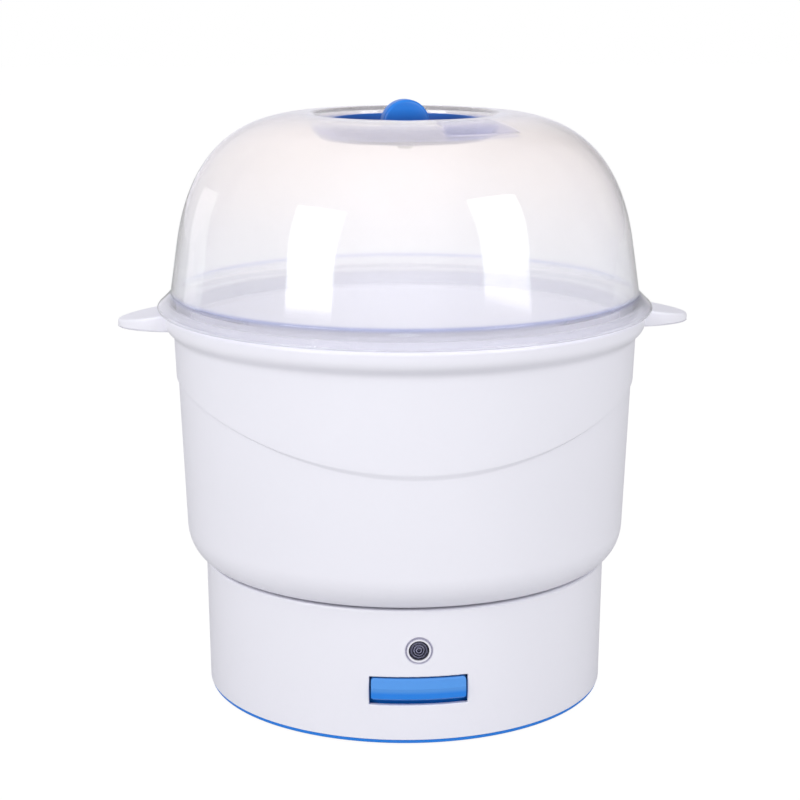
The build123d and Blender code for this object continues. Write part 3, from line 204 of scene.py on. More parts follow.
def rounded(corners, steps=5):
    """A polyline through corners (a, b, radius); each corner is an arc tangent to its two sides.

    One more point beside each end of an arc keeps the straight sides flat when shaded smooth.
    The first and the last corner stay as they are.
    """
    line = [np.array(corners[0][:2])]
    for before, (a, b, radius), after in zip(corners, corners[1:], corners[2:]):
        corner = np.array([a, b])
        back = np.array(before[:2]) - corner
        ahead = np.array(after[:2]) - corner
        back_run, ahead_run = np.linalg.norm(back), np.linalg.norm(ahead)
        back, ahead = back / back_run, ahead / ahead_run
        half = math.acos(np.clip(back @ ahead, -1, 1)) / 2
        reach = min(radius / math.tan(half), 0.49 * back_run, 0.49 * ahead_run)
        if radius == 0 or half > 1.55:
            line.append(corner)
            continue
        true_radius = reach * math.tan(half)
        middle = corner + (back + ahead) / np.linalg.norm(back + ahead) * reach / math.cos(half)
        start = corner + back * reach - middle
        end = corner + ahead * reach - middle
        turn = math.pi - 2 * half
        line.append(corner + back * min(reach * 1.2, 0.5 * back_run))
        for share in np.linspace(0, 1, steps + 1):
            weights = math.sin((1 - share) * turn), math.sin(share * turn)
            point = (start * weights[0] + end * weights[1]) / math.sin(turn)
            line.append(middle + point / np.linalg.norm(point) * true_radius)
        line.append(corner + ahead * min(reach * 1.2, 0.5 * ahead_run))
    line.append(np.array(corners[-1][:2]))
    return np.array(line)


def ellipse(centre, half_width, half_height, start, end, count):
    """Points of an elliptical arc from angle start to angle end, in degrees."""
    angle = np.radians(np.linspace(start, end, count))
    return np.stack([centre[0] + half_width * np.cos(angle), centre[1] + half_height * np.sin(angle)], -1)


def bezier(first, second, third, last, count):
    """Points of a cubic curve with two end points and two handles."""
    t = np.linspace(0, 1, count)[:, None]
    ends = (1 - t) ** 3 * np.array(first) + t**3 * np.array(last)
    return ends + 3 * (1 - t) ** 2 * t * np.array(second) + 3 * (1 - t) * t**2 * np.array(third)


def smooth(x):
    """0 below 0, 1 above 1 and a smooth rise between."""
    x = np.clip(x, 0, 1)
    return x * x * (3 - 2 * x)


def turned(profile, angles=None):
    """A profile of (radius, height) carried round the Z axis: (r cos a, r sin a, z)."""
    if angles is None:
        angles = np.linspace(0, 2 * np.pi, ROUND, endpoint=False)
    radius, height = profile[:, 0, None], profile[:, 1, None] + 0 * angles
    return np.stack([radius * np.cos(angles), radius * np.sin(angles), height], -1)


def along(line, run, places):
    """Points of a line at these places along its run."""
    return np.stack([np.interp(places, run, line[:, k]) for k in (0, 1)], -1)


def right_normals(line):
    """Unit normals of a line, to the right of the way it goes."""
    ahead = np.gradient(line, axis=0)
    return np.stack([ahead[:, 1], -ahead[:, 0]], -1) / np.linalg.norm(ahead, axis=1)[:, None]


# Shader nodes
def add_group(name, inputs, outputs):
    """A shader node group with these sockets; returns it with its input and output nodes."""
    tree = bpy.data.node_groups.new(name, "ShaderNodeTree")
    for socket, kind, value in inputs:
        tree.interface.new_socket(name=socket, in_out="INPUT", socket_type=kind).default_value = value
    for socket, kind in outputs:
        tree.interface.new_socket(name=socket, in_out="OUTPUT", socket_type=kind)
    return tree, tree.nodes.new("NodeGroupInput"), tree.nodes.new("NodeGroupOutput")


def put_out(tree, out, **results):
    """Links each result to the group's output of that name."""
    for socket, result in results.items():
        tree.links.new(result, out.inputs[socket])


def node(tree, kind, **values):
    """A new node; a value is a setting, an input's number or colour, or the socket that feeds it.

    An input goes by its name, with _ for a space, or by i and its number.
    """
    made = tree.nodes.new(kind)
    for key, value in values.items():
        if hasattr(made, key):
            setattr(made, key, value)
            continue
        by_number = key[0] == "i" and key[1:].isdigit()
        target = made.inputs[int(key[1:]) if by_number else key.replace("_", " ")]
        if isinstance(value, bpy.types.NodeSocket):
            tree.links.new(value, target)
        else:
            target.default_value = value
    return made


def math_node(tree, operation, first, second=0.0, third=0.0):
    made = node(tree, "ShaderNodeMath", operation=operation, i0=first, i1=second, i2=third)
    return made.outputs[0]


def times(tree, first, *others):
    """The product of all the values."""
    for other in others:
        first = math_node(tree, "MULTIPLY", first, other)
    return first


def ramp(tree, value, start, end):
    """0 where the value is at start, 1 where it is at end, straight between and level beyond."""
    rate = 1.0 / (end - start)
    line = math_node(tree, "MULTIPLY_ADD", value, rate, -start * rate)
    return math_node(tree, "MINIMUM", math_node(tree, "MAXIMUM", line, 0.0), 1.0)


def noise(tree, vector, scale, detail=2.0, rough=0.5):
    made = node(tree, "ShaderNodeTexNoise", Vector=vector, Scale=scale, Detail=detail, Roughness=rough)
    return made.outputs["Fac"]


def bump(tree, height, depth):
    made = node(tree, "ShaderNodeBump", Strength=1.0, Distance=depth, Height=height)
    return made.outputs["Normal"]


def solid(colour, level=1.0):
    """The colour at this level, as a socket takes it."""
    return *(c * level for c in colour), 1.0


def blend_colour(tree, share, first, second):
    made = node(tree, "ShaderNodeMix", data_type="RGBA", i0=share, i6=first, i7=second)
    return made.outputs[2]


def paint(tree, colour, layers, level=1.0):
    """The colour with others laid over it, each through its mask, all at this level."""
    mixed = solid(colour, level)
    for mask, over in layers:
        mixed = blend_colour(tree, mask, mixed, solid(over, level))
    return mixed


def object_place(tree):
    return tree.nodes.new("ShaderNodeTexCoord").outputs["Object"]


def axis_distance(tree, place, across):
    """Distance from an axis through the origin; across is 0 along the axis and 1 the two other ways."""
    flat = node(tree, "ShaderNodeVectorMath", operation="MULTIPLY", i0=place, i1=across)
    return node(tree, "ShaderNodeVectorMath", operation="LENGTH", i0=flat.outputs[0]).outputs["Value"]


# Effects that several finishes share
def moulded_skin():
    """Moulded plastic: faint flow clouds, handling marks in the gloss, and a fine tool grain."""
    tree, given, out = add_group(
        "moulded_skin",
        [
            ("Colour", COLOUR, (0.8, 0.8, 0.8, 1)),
            ("Shade", COLOUR, (0.7, 0.7, 0.7, 1)),
            ("Clouds", NUMBER, 12.0),
            ("Gloss", NUMBER, 0.3),
            ("Gloss change", NUMBER, 0.05),
            ("Grain", NUMBER, 2200.0),
            ("Depth", NUMBER, 0.00002),
        ],
        [("Colour", COLOUR), ("Roughness", NUMBER), ("Normal", VECTOR)],
    )
    place = object_place(tree)
    clouds = noise(tree, place, given.outputs["Clouds"], 3.0)
    specks = noise(tree, place, 420.0, 2.0)
    share = math_node(tree, "MULTIPLY_ADD", specks, 0.3, times(tree, clouds, 0.9))
    marks = noise(tree, place, 38.0, 4.0, 0.6)
    change = times(tree, math_node(tree, "SUBTRACT", marks, 0.5), 2.0)
    grain = noise(tree, place, given.outputs["Grain"], 2.0)
    sink = noise(tree, place, 22.0, 1.0)
    height = math_node(tree, "MULTIPLY_ADD", sink, 3.0, grain)
    gloss = math_node(tree, "MULTIPLY_ADD", change, given.outputs["Gloss change"], given.outputs["Gloss"])
    put_out(
        tree,
        out,
        Colour=blend_colour(tree, share, given.outputs["Shade"], given.outputs["Colour"]),
        Roughness=gloss,
        Normal=bump(tree, height, given.outputs["Depth"]),
    )
    return tree


def clear_skin():
    """Clear moulding: handling marks in the gloss and shallow waves."""
    tree, given, out = add_group(
        "clear_skin",
        [
            ("Marks", NUMBER, 30.0),
            ("Gloss", NUMBER, 0.06),
            ("Gloss change", NUMBER, 0.1),
            ("Waves", NUMBER, 22.0),
            ("Depth", NUMBER, 0.0003),
        ],
        [("Roughness", NUMBER), ("Normal", VECTOR)],
    )
    place = object_place(tree)
    marks = noise(tree, place, given.outputs["Marks"], 3.0, 0.6)
    gloss = math_node(tree, "MULTIPLY_ADD", marks, given.outputs["Gloss change"], given.outputs["Gloss"])
    waves = noise(tree, place, given.outputs["Waves"], 1.0)
    put_out(tree, out, Roughness=gloss, Normal=bump(tree, waves, given.outputs["Depth"]))
    return tree


def worked_metal():
    """Metal: streaks from rolling or turning, a patchy tint and fine scratches."""
    tree, given, out = add_group(
        "worked_metal",
        [
            ("Colour", COLOUR, (0.7, 0.7, 0.7, 1)),
            ("Tint", COLOUR, (0.6, 0.6, 0.5, 1)),
            ("Patches", NUMBER, 60.0),
            ("Streaks", VECTOR, (400.0, 400.0, 6000.0)),
            ("Turned", NUMBER, 0.0),
            ("Gloss", NUMBER, 0.3),
            ("Depth", NUMBER, 0.00001),
        ],
        [("Colour", COLOUR), ("Roughness", NUMBER), ("Normal", VECTOR)],
    )
    place = object_place(tree)
    radius = axis_distance(tree, place, (1.0, 1.0, 0.0))
    rings = node(tree, "ShaderNodeCombineXYZ", X=radius, Z=radius).outputs[0]
    run = node(tree, "ShaderNodeMix", data_type="VECTOR", i0=given.outputs["Turned"], i4=place, i5=rings)
    stretched = node(tree, "ShaderNodeVectorMath", operation="MULTIPLY", i0=run.outputs[1],
                     i1=given.outputs["Streaks"])
    streaks = noise(tree, stretched.outputs[0], 1.0, 3.0, 0.6)
    patches = noise(tree, place, given.outputs["Patches"], 3.0, 0.6)
    share = math_node(tree, "MULTIPLY_ADD", streaks, 0.35, times(tree, patches, 0.75))
    change = math_node(tree, "MULTIPLY_ADD", streaks, 0.16, times(tree, patches, 0.1))
    least = math_node(tree, "SUBTRACT", given.outputs["Gloss"], 0.12)
    put_out(
        tree,
        out,
        Colour=blend_colour(tree, share, given.outputs["Tint"], given.outputs["Colour"]),
        Roughness=math_node(tree, "ADD", change, least),
        Normal=bump(tree, streaks, given.outputs["Depth"]),
    )
    return tree


def from_lamp():
    """How far a point lies from the pilot lamp's axis, which runs along Y through Lamp."""
    lamp = ("Lamp", VECTOR, (0.0, 0.0, lamp_z))
    tree, given, out = add_group("from_lamp", [lamp], [("Distance", NUMBER)])
    moved = node(tree, "ShaderNodeVectorMath", operation="SUBTRACT", i0=object_place(tree),
                 i1=given.outputs["Lamp"])
    put_out(tree, out, Distance=axis_distance(tree, moved.outputs[0], (1.0, 0.0, 1.0)))
    return tree


skin, clear, worked, lamp_distance = moulded_skin(), clear_skin(), worked_metal(), from_lamp()
finish = {}


# Finishes: one short function for each kind
def start_material(name, **values):
    """A new finish with these plain values on its shader; returns its node tree and the shader."""
    material = bpy.data.materials.new(name)
    material.use_nodes = True
    finish[name] = material
    shader = material.node_tree.nodes["Principled BSDF"]
    for socket, value in values.items():
        shader.inputs[socket.replace("_", " ")].default_value = value
    return material.node_tree, shader


def cover(tree, shader, group, **values):
    """Places an effect in a finish; its colour, roughness and normal feed the shader."""
    placed = node(tree, "ShaderNodeGroup", node_tree=group, **values)
    for result, socket in (("Colour", "Base Color"), ("Roughness", "Roughness"), ("Normal", "Normal")):
        if result in placed.outputs:
            tree.links.new(placed.outputs[result], shader.inputs[socket])
    return placed


def distance_from_lamp(tree):
    return node(tree, "ShaderNodeGroup", node_tree=lamp_distance).outputs["Distance"]


def let_lamps_through(tree, shader, colour):
    """Shadow rays pass through, with this colour, so that the lamps light what is behind."""
    path = tree.nodes.new("ShaderNodeLightPath")
    passed = node(tree, "ShaderNodeBsdfTransparent", Color=solid(colour))
    mixed = node(tree, "ShaderNodeMixShader", i0=path.outputs["Is Shadow Ray"], i1=shader.outputs[0],
                 i2=passed.outputs[0])
    tree.links.new(mixed.outputs[0], tree.nodes["Material Output"].inputs["Surface"])


def plastic(name, colour, gloss, shade=0.94, clouds=12.0, grain=2200.0, depth=0.00002):
    """Opaque moulding; shade is how dark the darkest cloud is beside the colour."""
    tree, shader = start_material(name, IOR=1.5)
    cover(tree, shader, skin, Colour=solid(colour), Shade=solid(colour, shade), Clouds=clouds, Gloss=gloss,
          Grain=grain, Depth=depth)


def painted_skin(tree, shader, colour, layers, shade, **values):
    """Moulded skin whose colour changes through masks, and the colour of its darkest cloud with it."""
    placed = cover(tree, shader, skin, **values)
    for socket, level in (("Colour", 1.0), ("Shade", shade)):
        tree.links.new(paint(tree, colour, layers, level), placed.inputs[socket])


def blue_moulding(name, colour, grip_painted_shade, key_painted_light, gloss, shade):
    """Opaque moulding with painted shade low on the grip in its dish and painted light on the press key's
    upper face.
    """
    tree, shader = start_material(name, IOR=1.5)
    height = node(tree, "ShaderNodeSeparateXYZ", Vector=object_place(tree)).outputs["Z"]
    on_grip = ramp(tree, height, rim_top, rim_top + 0.01)
    grip_shade_mask = times(tree, on_grip, ramp(tree, height, grip_shade_start_z, grip_shade_full_z))
    off_grip = math_node(tree, "SUBTRACT", 1.0, on_grip)
    key_light_mask = times(tree, off_grip, ramp(tree, height, key_light_start_z, key_light_full_z))
    painted_skin(tree, shader, colour, [(grip_shade_mask, grip_painted_shade), (key_light_mask, key_painted_light)], shade, Clouds=20.0,
                 Gloss=gloss)


def white_moulding(name, colour, lamp_dish_painted_shade, gloss, shade):
    """Opaque moulding with a painted soft shade in the pilot lamp's dish, in a ring along the bezel's edge.
    """
    tree, shader = start_material(name, IOR=1.5)
    away = distance_from_lamp(tree)
    front = node(tree, "ShaderNodeSeparateXYZ", Vector=object_place(tree)).outputs["Y"]
    # ring: where the painted shade lies in the lamp's dish
    ring = times(
        tree,
        ramp(tree, away, bezel_radius + ring_fade, bezel_radius + ring_outer),
        ramp(tree, away, bezel_radius - ring_inner_fade, bezel_radius - ring_inner),
        ramp(tree, front, ring_back_y, ring_front_y),
    )
    painted_skin(tree, shader, colour, [(ring, lamp_dish_painted_shade)], shade, Clouds=12.0, Gloss=gloss)


def ribbed_lens(name, lens_painted_shade, ridge_painted_glint, pitch):
    """Clear moulding painted dark as its shaded lamp cavity and as the gap at its edge along the bezel,
    with painted glints in pale rings on its ridges round the lamp's axis.
    """
    tree, shader = start_material(name, IOR=1.5, Transmission_Weight=0.4)
    away = distance_from_lamp(tree)
    uneven = math_node(tree, "MULTIPLY_ADD", noise(tree, object_place(tree), 700.0, 2.0), 0.0005, away)
    wave = math_node(tree, "SINE", times(tree, uneven, 2 * math.pi / pitch))
    inside = ramp(tree, away, lens_radius - 0.0004, lens_radius - 0.0007)
    # ridges: where the painted glints lie, kept off the edge, which stays painted dark
    ridges = times(tree, ramp(tree, wave, -0.5, 0.9), inside)
    cover(tree, shader, clear, Marks=300.0, Gloss=0.06, Gloss_change=0.12)
    tree.links.new(paint(tree, lens_painted_shade, [(ridges, ridge_painted_glint)]), shader.inputs["Base Color"])
    # The ridges' own normal takes the place of the one from clear
    tree.links.new(bump(tree, wave, 0.0001), shader.inputs["Normal"])


def metal(name, colour, tint, gloss, streaks=(300.0, 300.0, 5000.0), turning=0.0, patches=60.0):
    """Bare or plated metal with its own direction of work."""
    tree, shader = start_material(name, Metallic=1.0)
    cover(tree, shader, worked, Colour=solid(colour), Tint=solid(tint), Patches=patches, Streaks=streaks,
          Turned=turning, Gloss=gloss)


def milky(name, low, high, well, pad, foot, brim, crest, passed, absorbed, density):
    """Milky see-through moulding: glass with a share of scatter under a glossy skin.

    Its colour goes from low to high with the height, and is another on the pad and on the brim below the
    dome's foot. The well's wall has painted blue shade, the line along the dome's foot is a painted
    refraction and the round of the crest has a painted highlight.
    """
    tree, shader = start_material(name, Transmission_Weight=0.8, IOR=1.1, Coat_Weight=1.0,
                                  Coat_Roughness=0.06)
    place = object_place(tree)
    parts = node(tree, "ShaderNodeSeparateXYZ", Vector=place)
    height = parts.outputs["Z"]
    radius = axis_distance(tree, place, (1.0, 1.0, 0.0))
    clouds = noise(tree, place, 9.0, 3.0)
    cloudy_height = math_node(tree, "MULTIPLY_ADD", clouds, lid_clouds, height)
    upper = ramp(tree, cloudy_height, lid_low_z, lid_high_z)
    # Painted blue shade in the well's wall
    well_shade_mask = times(tree, ramp(tree, radius, crest_radius - 0.0001, crest_radius - 0.001),
                    ramp(tree, height, dome_top - 0.002, dome_top - 0.005))
    # Painted highlight round the crest
    crest_highlight_mask = times(tree, ramp(tree, radius, crest_radius + 0.006, crest_radius + 0.002),
                     ramp(tree, height, dome_top - 0.0045, dome_top - 0.002))
    turn = math_node(tree, "ARCTAN2", parts.outputs["Y"], parts.outputs["X"])
    off_pad = math_node(tree, "ABSOLUTE", math_node(tree, "SUBTRACT", turn, pad_turn))
    on_pad = times(
        tree,
        ramp(tree, off_pad, pad_half + soft_turn, pad_half - soft_turn),
        ramp(tree, radius, pad_inner - soft_edge, pad_inner + soft_edge),
        ramp(tree, radius, pad_outer + soft_edge, pad_outer - soft_edge),
    )
    below_foot = ramp(tree, height, foot_z, foot_z - 0.001)
    # Painted refraction line along the dome's foot
    off_foot = math_node(tree, "ABSOLUTE", math_node(tree, "SUBTRACT", height, foot_z))
    foot_refraction_mask = ramp(tree, off_foot, foot_line_outer, foot_line_inner)
    layers = [(upper, high), (well_shade_mask, well), (crest_highlight_mask, crest), (on_pad, pad), (below_foot, brim),
              (foot_refraction_mask, foot)]
    cover(tree, shader, clear)
    tree.links.new(paint(tree, low, layers), shader.inputs["Base Color"])
    let_lamps_through(tree, shader, passed)
    volume = node(tree, "ShaderNodeVolumeAbsorption", Color=solid(absorbed), Density=density)
    tree.links.new(volume.outputs[0], tree.nodes["Material Output"].inputs["Volume"])


def tinted_glass(name, colour, gloss, depth):
    """Clear glass that lets lamps through, slightly uneven in tint, gloss and surface."""
    tree, shader = start_material(name, Transmission_Weight=1.0, IOR=1.5)
    cover(tree, shader, clear, Gloss=gloss * 0.5, Gloss_change=gloss, Waves=26.0, Depth=depth)
    pale = [0.5 + 0.5 * c for c in colour]
    clouds = noise(tree, object_place(tree), 14.0, 2.0)
    tree.links.new(paint(tree, colour, [(clouds, pale)]), shader.inputs["Base Color"])
    let_lamps_through(tree, shader, colour)


# Where colours change
# Painted shade on the grip in its dish: full under the first height, gone over the second
grip_shade_full_z, grip_shade_start_z = 0.284, 0.2925
# Painted light on the press key's upper face: none under the first height, full over the second
key_light_start_z, key_light_full_z = 0.0262, 0.0278
lid_low_z, lid_high_z = 0.24, 0.31
lid_clouds = 0.035         # how far clouds move that change up and down
# Painted refraction line along the dome's foot
foot_line_inner, foot_line_outer = 0.0004, 0.0014     # half heights of the line along the dome's foot
soft_edge = 0.0006         # half width of the pad's edges in the colour
soft_turn = 0.012          # and of its two side edges
# Ring of painted shade in the pilot lamp's dish, round the bezel
ring_outer, ring_fade = 0.0007, 0.0012     # full, and gone, this far outside the bezel's edge
ring_inner, ring_inner_fade = 0.0001, 0.0004          # and this far inside it
ring_back_y, ring_front_y = -0.09, -0.096             # gone at the first, full at the second

# One finish for each material slot
# White, with painted shade in the pilot lamp's dish
white_moulding("white_plastic", colour=(0.84, 0.835, 0.905), lamp_dish_painted_shade=(0.56, 0.55, 0.66), gloss=0.34,
               shade=0.96)
# Blue, with painted shade low in the grip's dish and painted light on the press key's upper face
blue_moulding("blue_plastic", colour=(0.006, 0.215, 0.78), grip_painted_shade=(0.001, 0.035, 0.25),
              key_painted_light=(0.075, 0.3, 0.78), gloss=0.32, shade=0.9)
milky(
    "clear_plastic",
    low=(0.92, 0.92, 0.935),
    high=(0.995, 0.945, 0.92),
    # well: painted blue shade in the well's wall
    well=(0.42, 0.47, 0.74),
    pad=(0.74, 0.72, 0.83),
    # foot: painted refraction line along the dome's foot
    foot=(0.62, 0.66, 0.86),
    brim=(0.84, 0.84, 0.88),
    # crest: painted highlight round the crest
    crest=(0.985, 0.98, 1.0),
    passed=(0.9, 0.9, 0.93),
    absorbed=(0.62, 0.6, 0.68),
    density=11.0,
)
plastic("rack_plastic", (0.78, 0.8, 0.88), 0.3)
# Lens painted dark for its shaded cavity and the bezel gap, with painted glints on its ridges
ribbed_lens("lens_plastic", lens_painted_shade=(0.015, 0.015, 0.045), ridge_painted_glint=(0.5, 0.5, 0.72),
            pitch=0.0012)
plastic("black_plastic", (0.018, 0.018, 0.022), 0.48, shade=0.7, depth=0.00004)
plastic("rubber", (0.06, 0.06, 0.065), 0.62, shade=0.7, grain=1500.0, depth=0.00005)
plastic("silicone", (0.6, 0.59, 0.56), 0.5, shade=0.9, clouds=40.0)
plastic("ferrite", (0.03, 0.03, 0.034), 0.42, shade=0.6, grain=900.0, depth=0.00006)
wires = {
    "wire_brown": (0.1, 0.04, 0.02),
    "wire_blue": (0.02, 0.07, 0.32),
    "wire_green": (0.18, 0.36, 0.03),
}
for wire, wire_colour in wires.items():
    plastic(wire, wire_colour, 0.42, shade=0.8, grain=1600.0)
metal("pan_steel", (0.72, 0.73, 0.75), (0.62, 0.61, 0.6), 0.24, (1.0, 1.0, 2600.0), 1.0, patches=30.0)
metal("zinc_steel", (0.66, 0.67, 0.7), (0.6, 0.57, 0.46), 0.36, patches=120.0)
metal("spring_steel", (0.5, 0.51, 0.54), (0.4, 0.38, 0.36), 0.3, (900.0, 900.0, 900.0))
metal("cup_aluminium", (0.78, 0.79, 0.8), (0.68, 0.69, 0.7), 0.34, (1.0, 1.0, 3000.0), 1.0)
metal("element_steel", (0.34, 0.31, 0.3), (0.2, 0.14, 0.13), 0.46, patches=90.0)
metal("brass", (0.8, 0.6, 0.26), (0.62, 0.42, 0.18), 0.3, patches=140.0)
tinted_glass("neon_glass", (0.95, 0.72, 0.55), gloss=0.03, depth=0.00002)
for subpart in frame["record"]["subparts"]:
    slots = frame["nodes"][subpart["node"]].data.materials
    slots.clear()
    slots.append(finish[subpart["material_slot"]])


def swept_wall(angles, low_z, high_z):
    """Rows of the tub's outer wall that follow the line z = sweep_low + x * x / sweep_reach.

    Some lie below the line's step, some cross it and some lie above. The radius grows by sweep_step
    over the step, and by the wall's lean between low_z and high_z.
    """
    across = (tub_low_radius * np.cos(angles))[None]
    line = sweep_low + across**2 / sweep_reach
    half = sweep_thin + (sweep_wide - sweep_thin) * smooth(1 - np.abs(across) / sweep_span)
    below = low_z + (line - half - low_z) * np.linspace(0.04, 0.97, 12)[:, None]
    over = line + half * np.linspace(-1, 1, 15)[:, None]
    above = line + half + (high_z - line - half) * np.linspace(0.06, 0.96, 10)[:, None]
    wall_z = np.vstack([below, over, above])
    lean = (tub_top_radius - tub_low_radius) / (high_z - low_z)
    proud = sweep_step * smooth((wall_z - line) / (2 * half) + 0.5)
    wall_r = tub_low_radius + lean * (wall_z - low_z) + proud
    return np.stack([wall_r * np.cos(angles), wall_r * np.sin(angles), wall_z], -1)


def tub_surface():
    """The tub turned about Z from its closed profile, with the swept step on its outer wall."""
    angles = np.linspace(0, 2 * np.pi, ROUND * 2, endpoint=False)
    under = deck_top + tub_gap
    corner = (tub_low_radius - tub_corner_r, under + tub_corner_z)
    bead_low = rim_top - bead_height
    bead_full = bead_low + bead_upright
    step_z = rim_top - rim_step_depth
    floor_z = under + tub_wall
    top_radius = tub_top_radius + sweep_step
    inner_radius = tub_top_radius - tub_wall
    collar_inner = collar_radius - collar_wall
    bottom = np.vstack([[(seat_radius, under)], ellipse(corner, tub_corner_r, tub_corner_z, 270, 360, 22)])
    bead = bezier(
        (top_radius, bead_low),
        (top_radius + bead_out, bead_low + bead_up),
        (rim_radius, bead_full - bead_turn),
        (rim_radius, bead_full),
        14,
    )
    rim = rounded(
        [
            (rim_radius, bead_full, 0),
            (rim_radius, rim_top, rim_round),
            (rim_step_radius, rim_top, 0.0006),
            (rim_step_radius, step_z, 0.0005),
            (inner_radius, step_z - rim_step_slope, 0.0005),
            (inner_radius, bead_low, 0.004),
            (tub_low_radius - tub_wall, corner[1], 0),
        ]
    )[1:-1]
    inside = ellipse(corner, tub_corner_r - tub_wall, tub_corner_z - tub_wall, 360, 270, 16)
    collar = rounded(
        [
            (corner[0], floor_z, 0),
            (collar_inner, floor_z, 0.0008),
            (collar_inner, tub_low.z, 0.0005),
            (collar_radius, tub_low.z, 0.0005),
            (collar_radius, deck_top, 0),
            (seat_radius, deck_top, 0.0004),
            (seat_radius, under, 0),
        ]
    )[1:-1]
    start = turned(bottom, angles)
    wall = swept_wall(angles, corner[1], bead_low)
    rest = turned(np.vstack([bead, rim, inside, collar]), angles)
    mesh_piece("tub_shell", np.concatenate([start, wall, rest]), "tub", "white_plastic", ["tub"], ring=True)


def ear_height(along_ear, share):
    """Height in an ear between its skirt's lower edge, share 0, and its top, share 1.

    Both slope in straight lines from the root, along_ear 0, to the tip, 1.
    """
    top = rim_top - ear_drop - ear_slope * along_ear
    low = top - ear_root_thickness - (ear_tip_thickness - ear_root_thickness) * along_ear
    return low + (top - low) * share


def ear_surface(side):
    """One ear: its outline in plan, half an ellipse and its closing side, is shrunk and lifted in stages
    from the middle of the top, over the edge, down the skirt, round its lower lip and up inside to the
    hollow's ceiling."""
    root = rim_radius - ear_overlap
    length = ear_tip - root
    curve = ellipse((root, 0.0), length, ear_half, -90, 90, 61)
    back = np.stack([np.full(28, root), np.linspace(ear_half, -ear_half, 30)[1:-1]], -1)
    outline = np.vstack([curve, back])
    ahead = np.roll(outline, -1, axis=0) - np.roll(outline, 1, axis=0)
    ahead /= np.linalg.norm(ahead, axis=1)[:, None]
    inward = np.stack([-ahead[:, 1], ahead[:, 0]], -1)
    middle = np.array([root + 0.4 * length, 0.0])
    lip = ear_shell / 2
    ceiling = outline + inward * (ear_shell + ear_corner)

    stages = [(outline + (middle - outline) * shrink, 1.0, 0.0) for shrink in (1.0, 0.75, 0.5, 0.25, 0.08)]
    for angle in np.radians(np.linspace(0, 90, 6)):
        inset, fall = ear_bevel * (1 - np.sin(angle)), ear_bevel * (1 - np.cos(angle))
        stages.append((outline + inward * inset, 1.0, -fall))
    stages += [(outline, share, 0.0) for share in (0.6, 0.3, 0.12)]
    for angle in np.radians(np.linspace(0, 180, 7)):
        stages.append((outline + inward * lip * (1 - np.cos(angle)), 0.0, lip * (1 - np.sin(angle))))
    stages.append((outline + inward * ear_shell, 0.4, 0.0))
    stages.append((outline + inward * ear_shell, 1.0, -ear_shell - ear_corner))
    stages.append((ceiling, 1.0, -ear_shell))
    stages += [(ceiling + (middle - ceiling) * shrink, 1.0, -ear_shell) for shrink in (0.5, 1.0)]
    points = np.array([
        np.stack([plan[:, 0], plan[:, 1], ear_height((plan[:, 0] - root) / length, share) + lift], -1)
        for plan, share, lift in stages
    ])
    points[:, :, 0] *= side
    name, replaced = ("ear_right", ["tub_ears"]) if side > 0 else ("ear_left", [])
    mesh_piece(name, points, "tub", "white_plastic", replaced, crease=50.0)


def dome_faces():
    """Rows of the dome's outer face, from the shoulder up to the crest, and of its inner face back down.

    The outer face is a cubic curve that leaves along the side's lean and comes level at the crest, with
    rows closer at the pad's ends. The inner face is the same curve set back by the wall.
    """
    shoulder_z = rim_top + shoulder_rise
    side_lean = (foot_radius - shoulder_radius) / (shoulder_rise - foot_rise)
    face = bezier(
        (shoulder_radius, shoulder_z),
        (shoulder_radius - side_lean * shoulder_pull, shoulder_z + shoulder_pull),
        (crest_radius + crest_pull, dome_top),
        (crest_radius, dome_top),
        2001,
    )
    run = np.concatenate([[0], np.cumsum(np.linalg.norm(np.diff(face, axis=0), axis=1))])
    pad_foot, pad_top = np.interp([-pad_outer, -pad_inner], -face[:, 0], run)
    # Seven close rows over each end of the pad
    rows = np.concatenate([
        np.linspace(0, pad_foot - 0.0018, 46),
        np.linspace(pad_foot - 0.0009, pad_foot + 0.0009, 7),
        np.linspace(pad_foot + 0.0022, pad_top - 0.0022, 8),
        np.linspace(pad_top - 0.0009, pad_top + 0.0009, 7),
        np.linspace(pad_top + 0.002, run[-1], 5),
    ])
    set_back = face - right_normals(face) * lid_wall
    return along(face, run, rows), along(set_back, run, np.linspace(run[-1], 0, 46))


def lid_columns():
    """Angles of the lid's columns: even all round, and closer over the pad's two side edges."""
    edges = pad_turn - pad_half, pad_turn + pad_half
    around = np.linspace(-np.pi, np.pi, ROUND, endpoint=False)
    clear_of = np.all([np.abs(around - edge) > pad_side_slope * 1.4 for edge in edges], axis=0)
    close = [np.linspace(edge - pad_side_slope, edge + pad_side_slope, 9) for edge in edges]
    return np.sort(np.concatenate([around[clear_of], *close]))


def raise_pad(shape, outside, angles):
    """Pushes the pad out along the face's normals, in a window of angle and radius with soft edges."""
    radius = outside[:, 0]
    window = smooth(0.5 + (pad_half - np.abs(angles - pad_turn)) / (2 * pad_side_slope))
    near_outer = smooth(0.5 + (pad_outer - radius) / (2 * pad_slope))
    near_inner = smooth(0.5 + (radius - pad_inner) / (2 * pad_slope))
    lift = pad_proud * window[None] * (near_outer * near_inner)[:, None]
    outward = right_normals(outside)
    shape[:, :, 0] += lift * outward[:, 0, None] * np.cos(angles)
    shape[:, :, 1] += lift * outward[:, 0, None] * np.sin(angles)
    shape[:, :, 2] += lift * outward[:, 1, None]


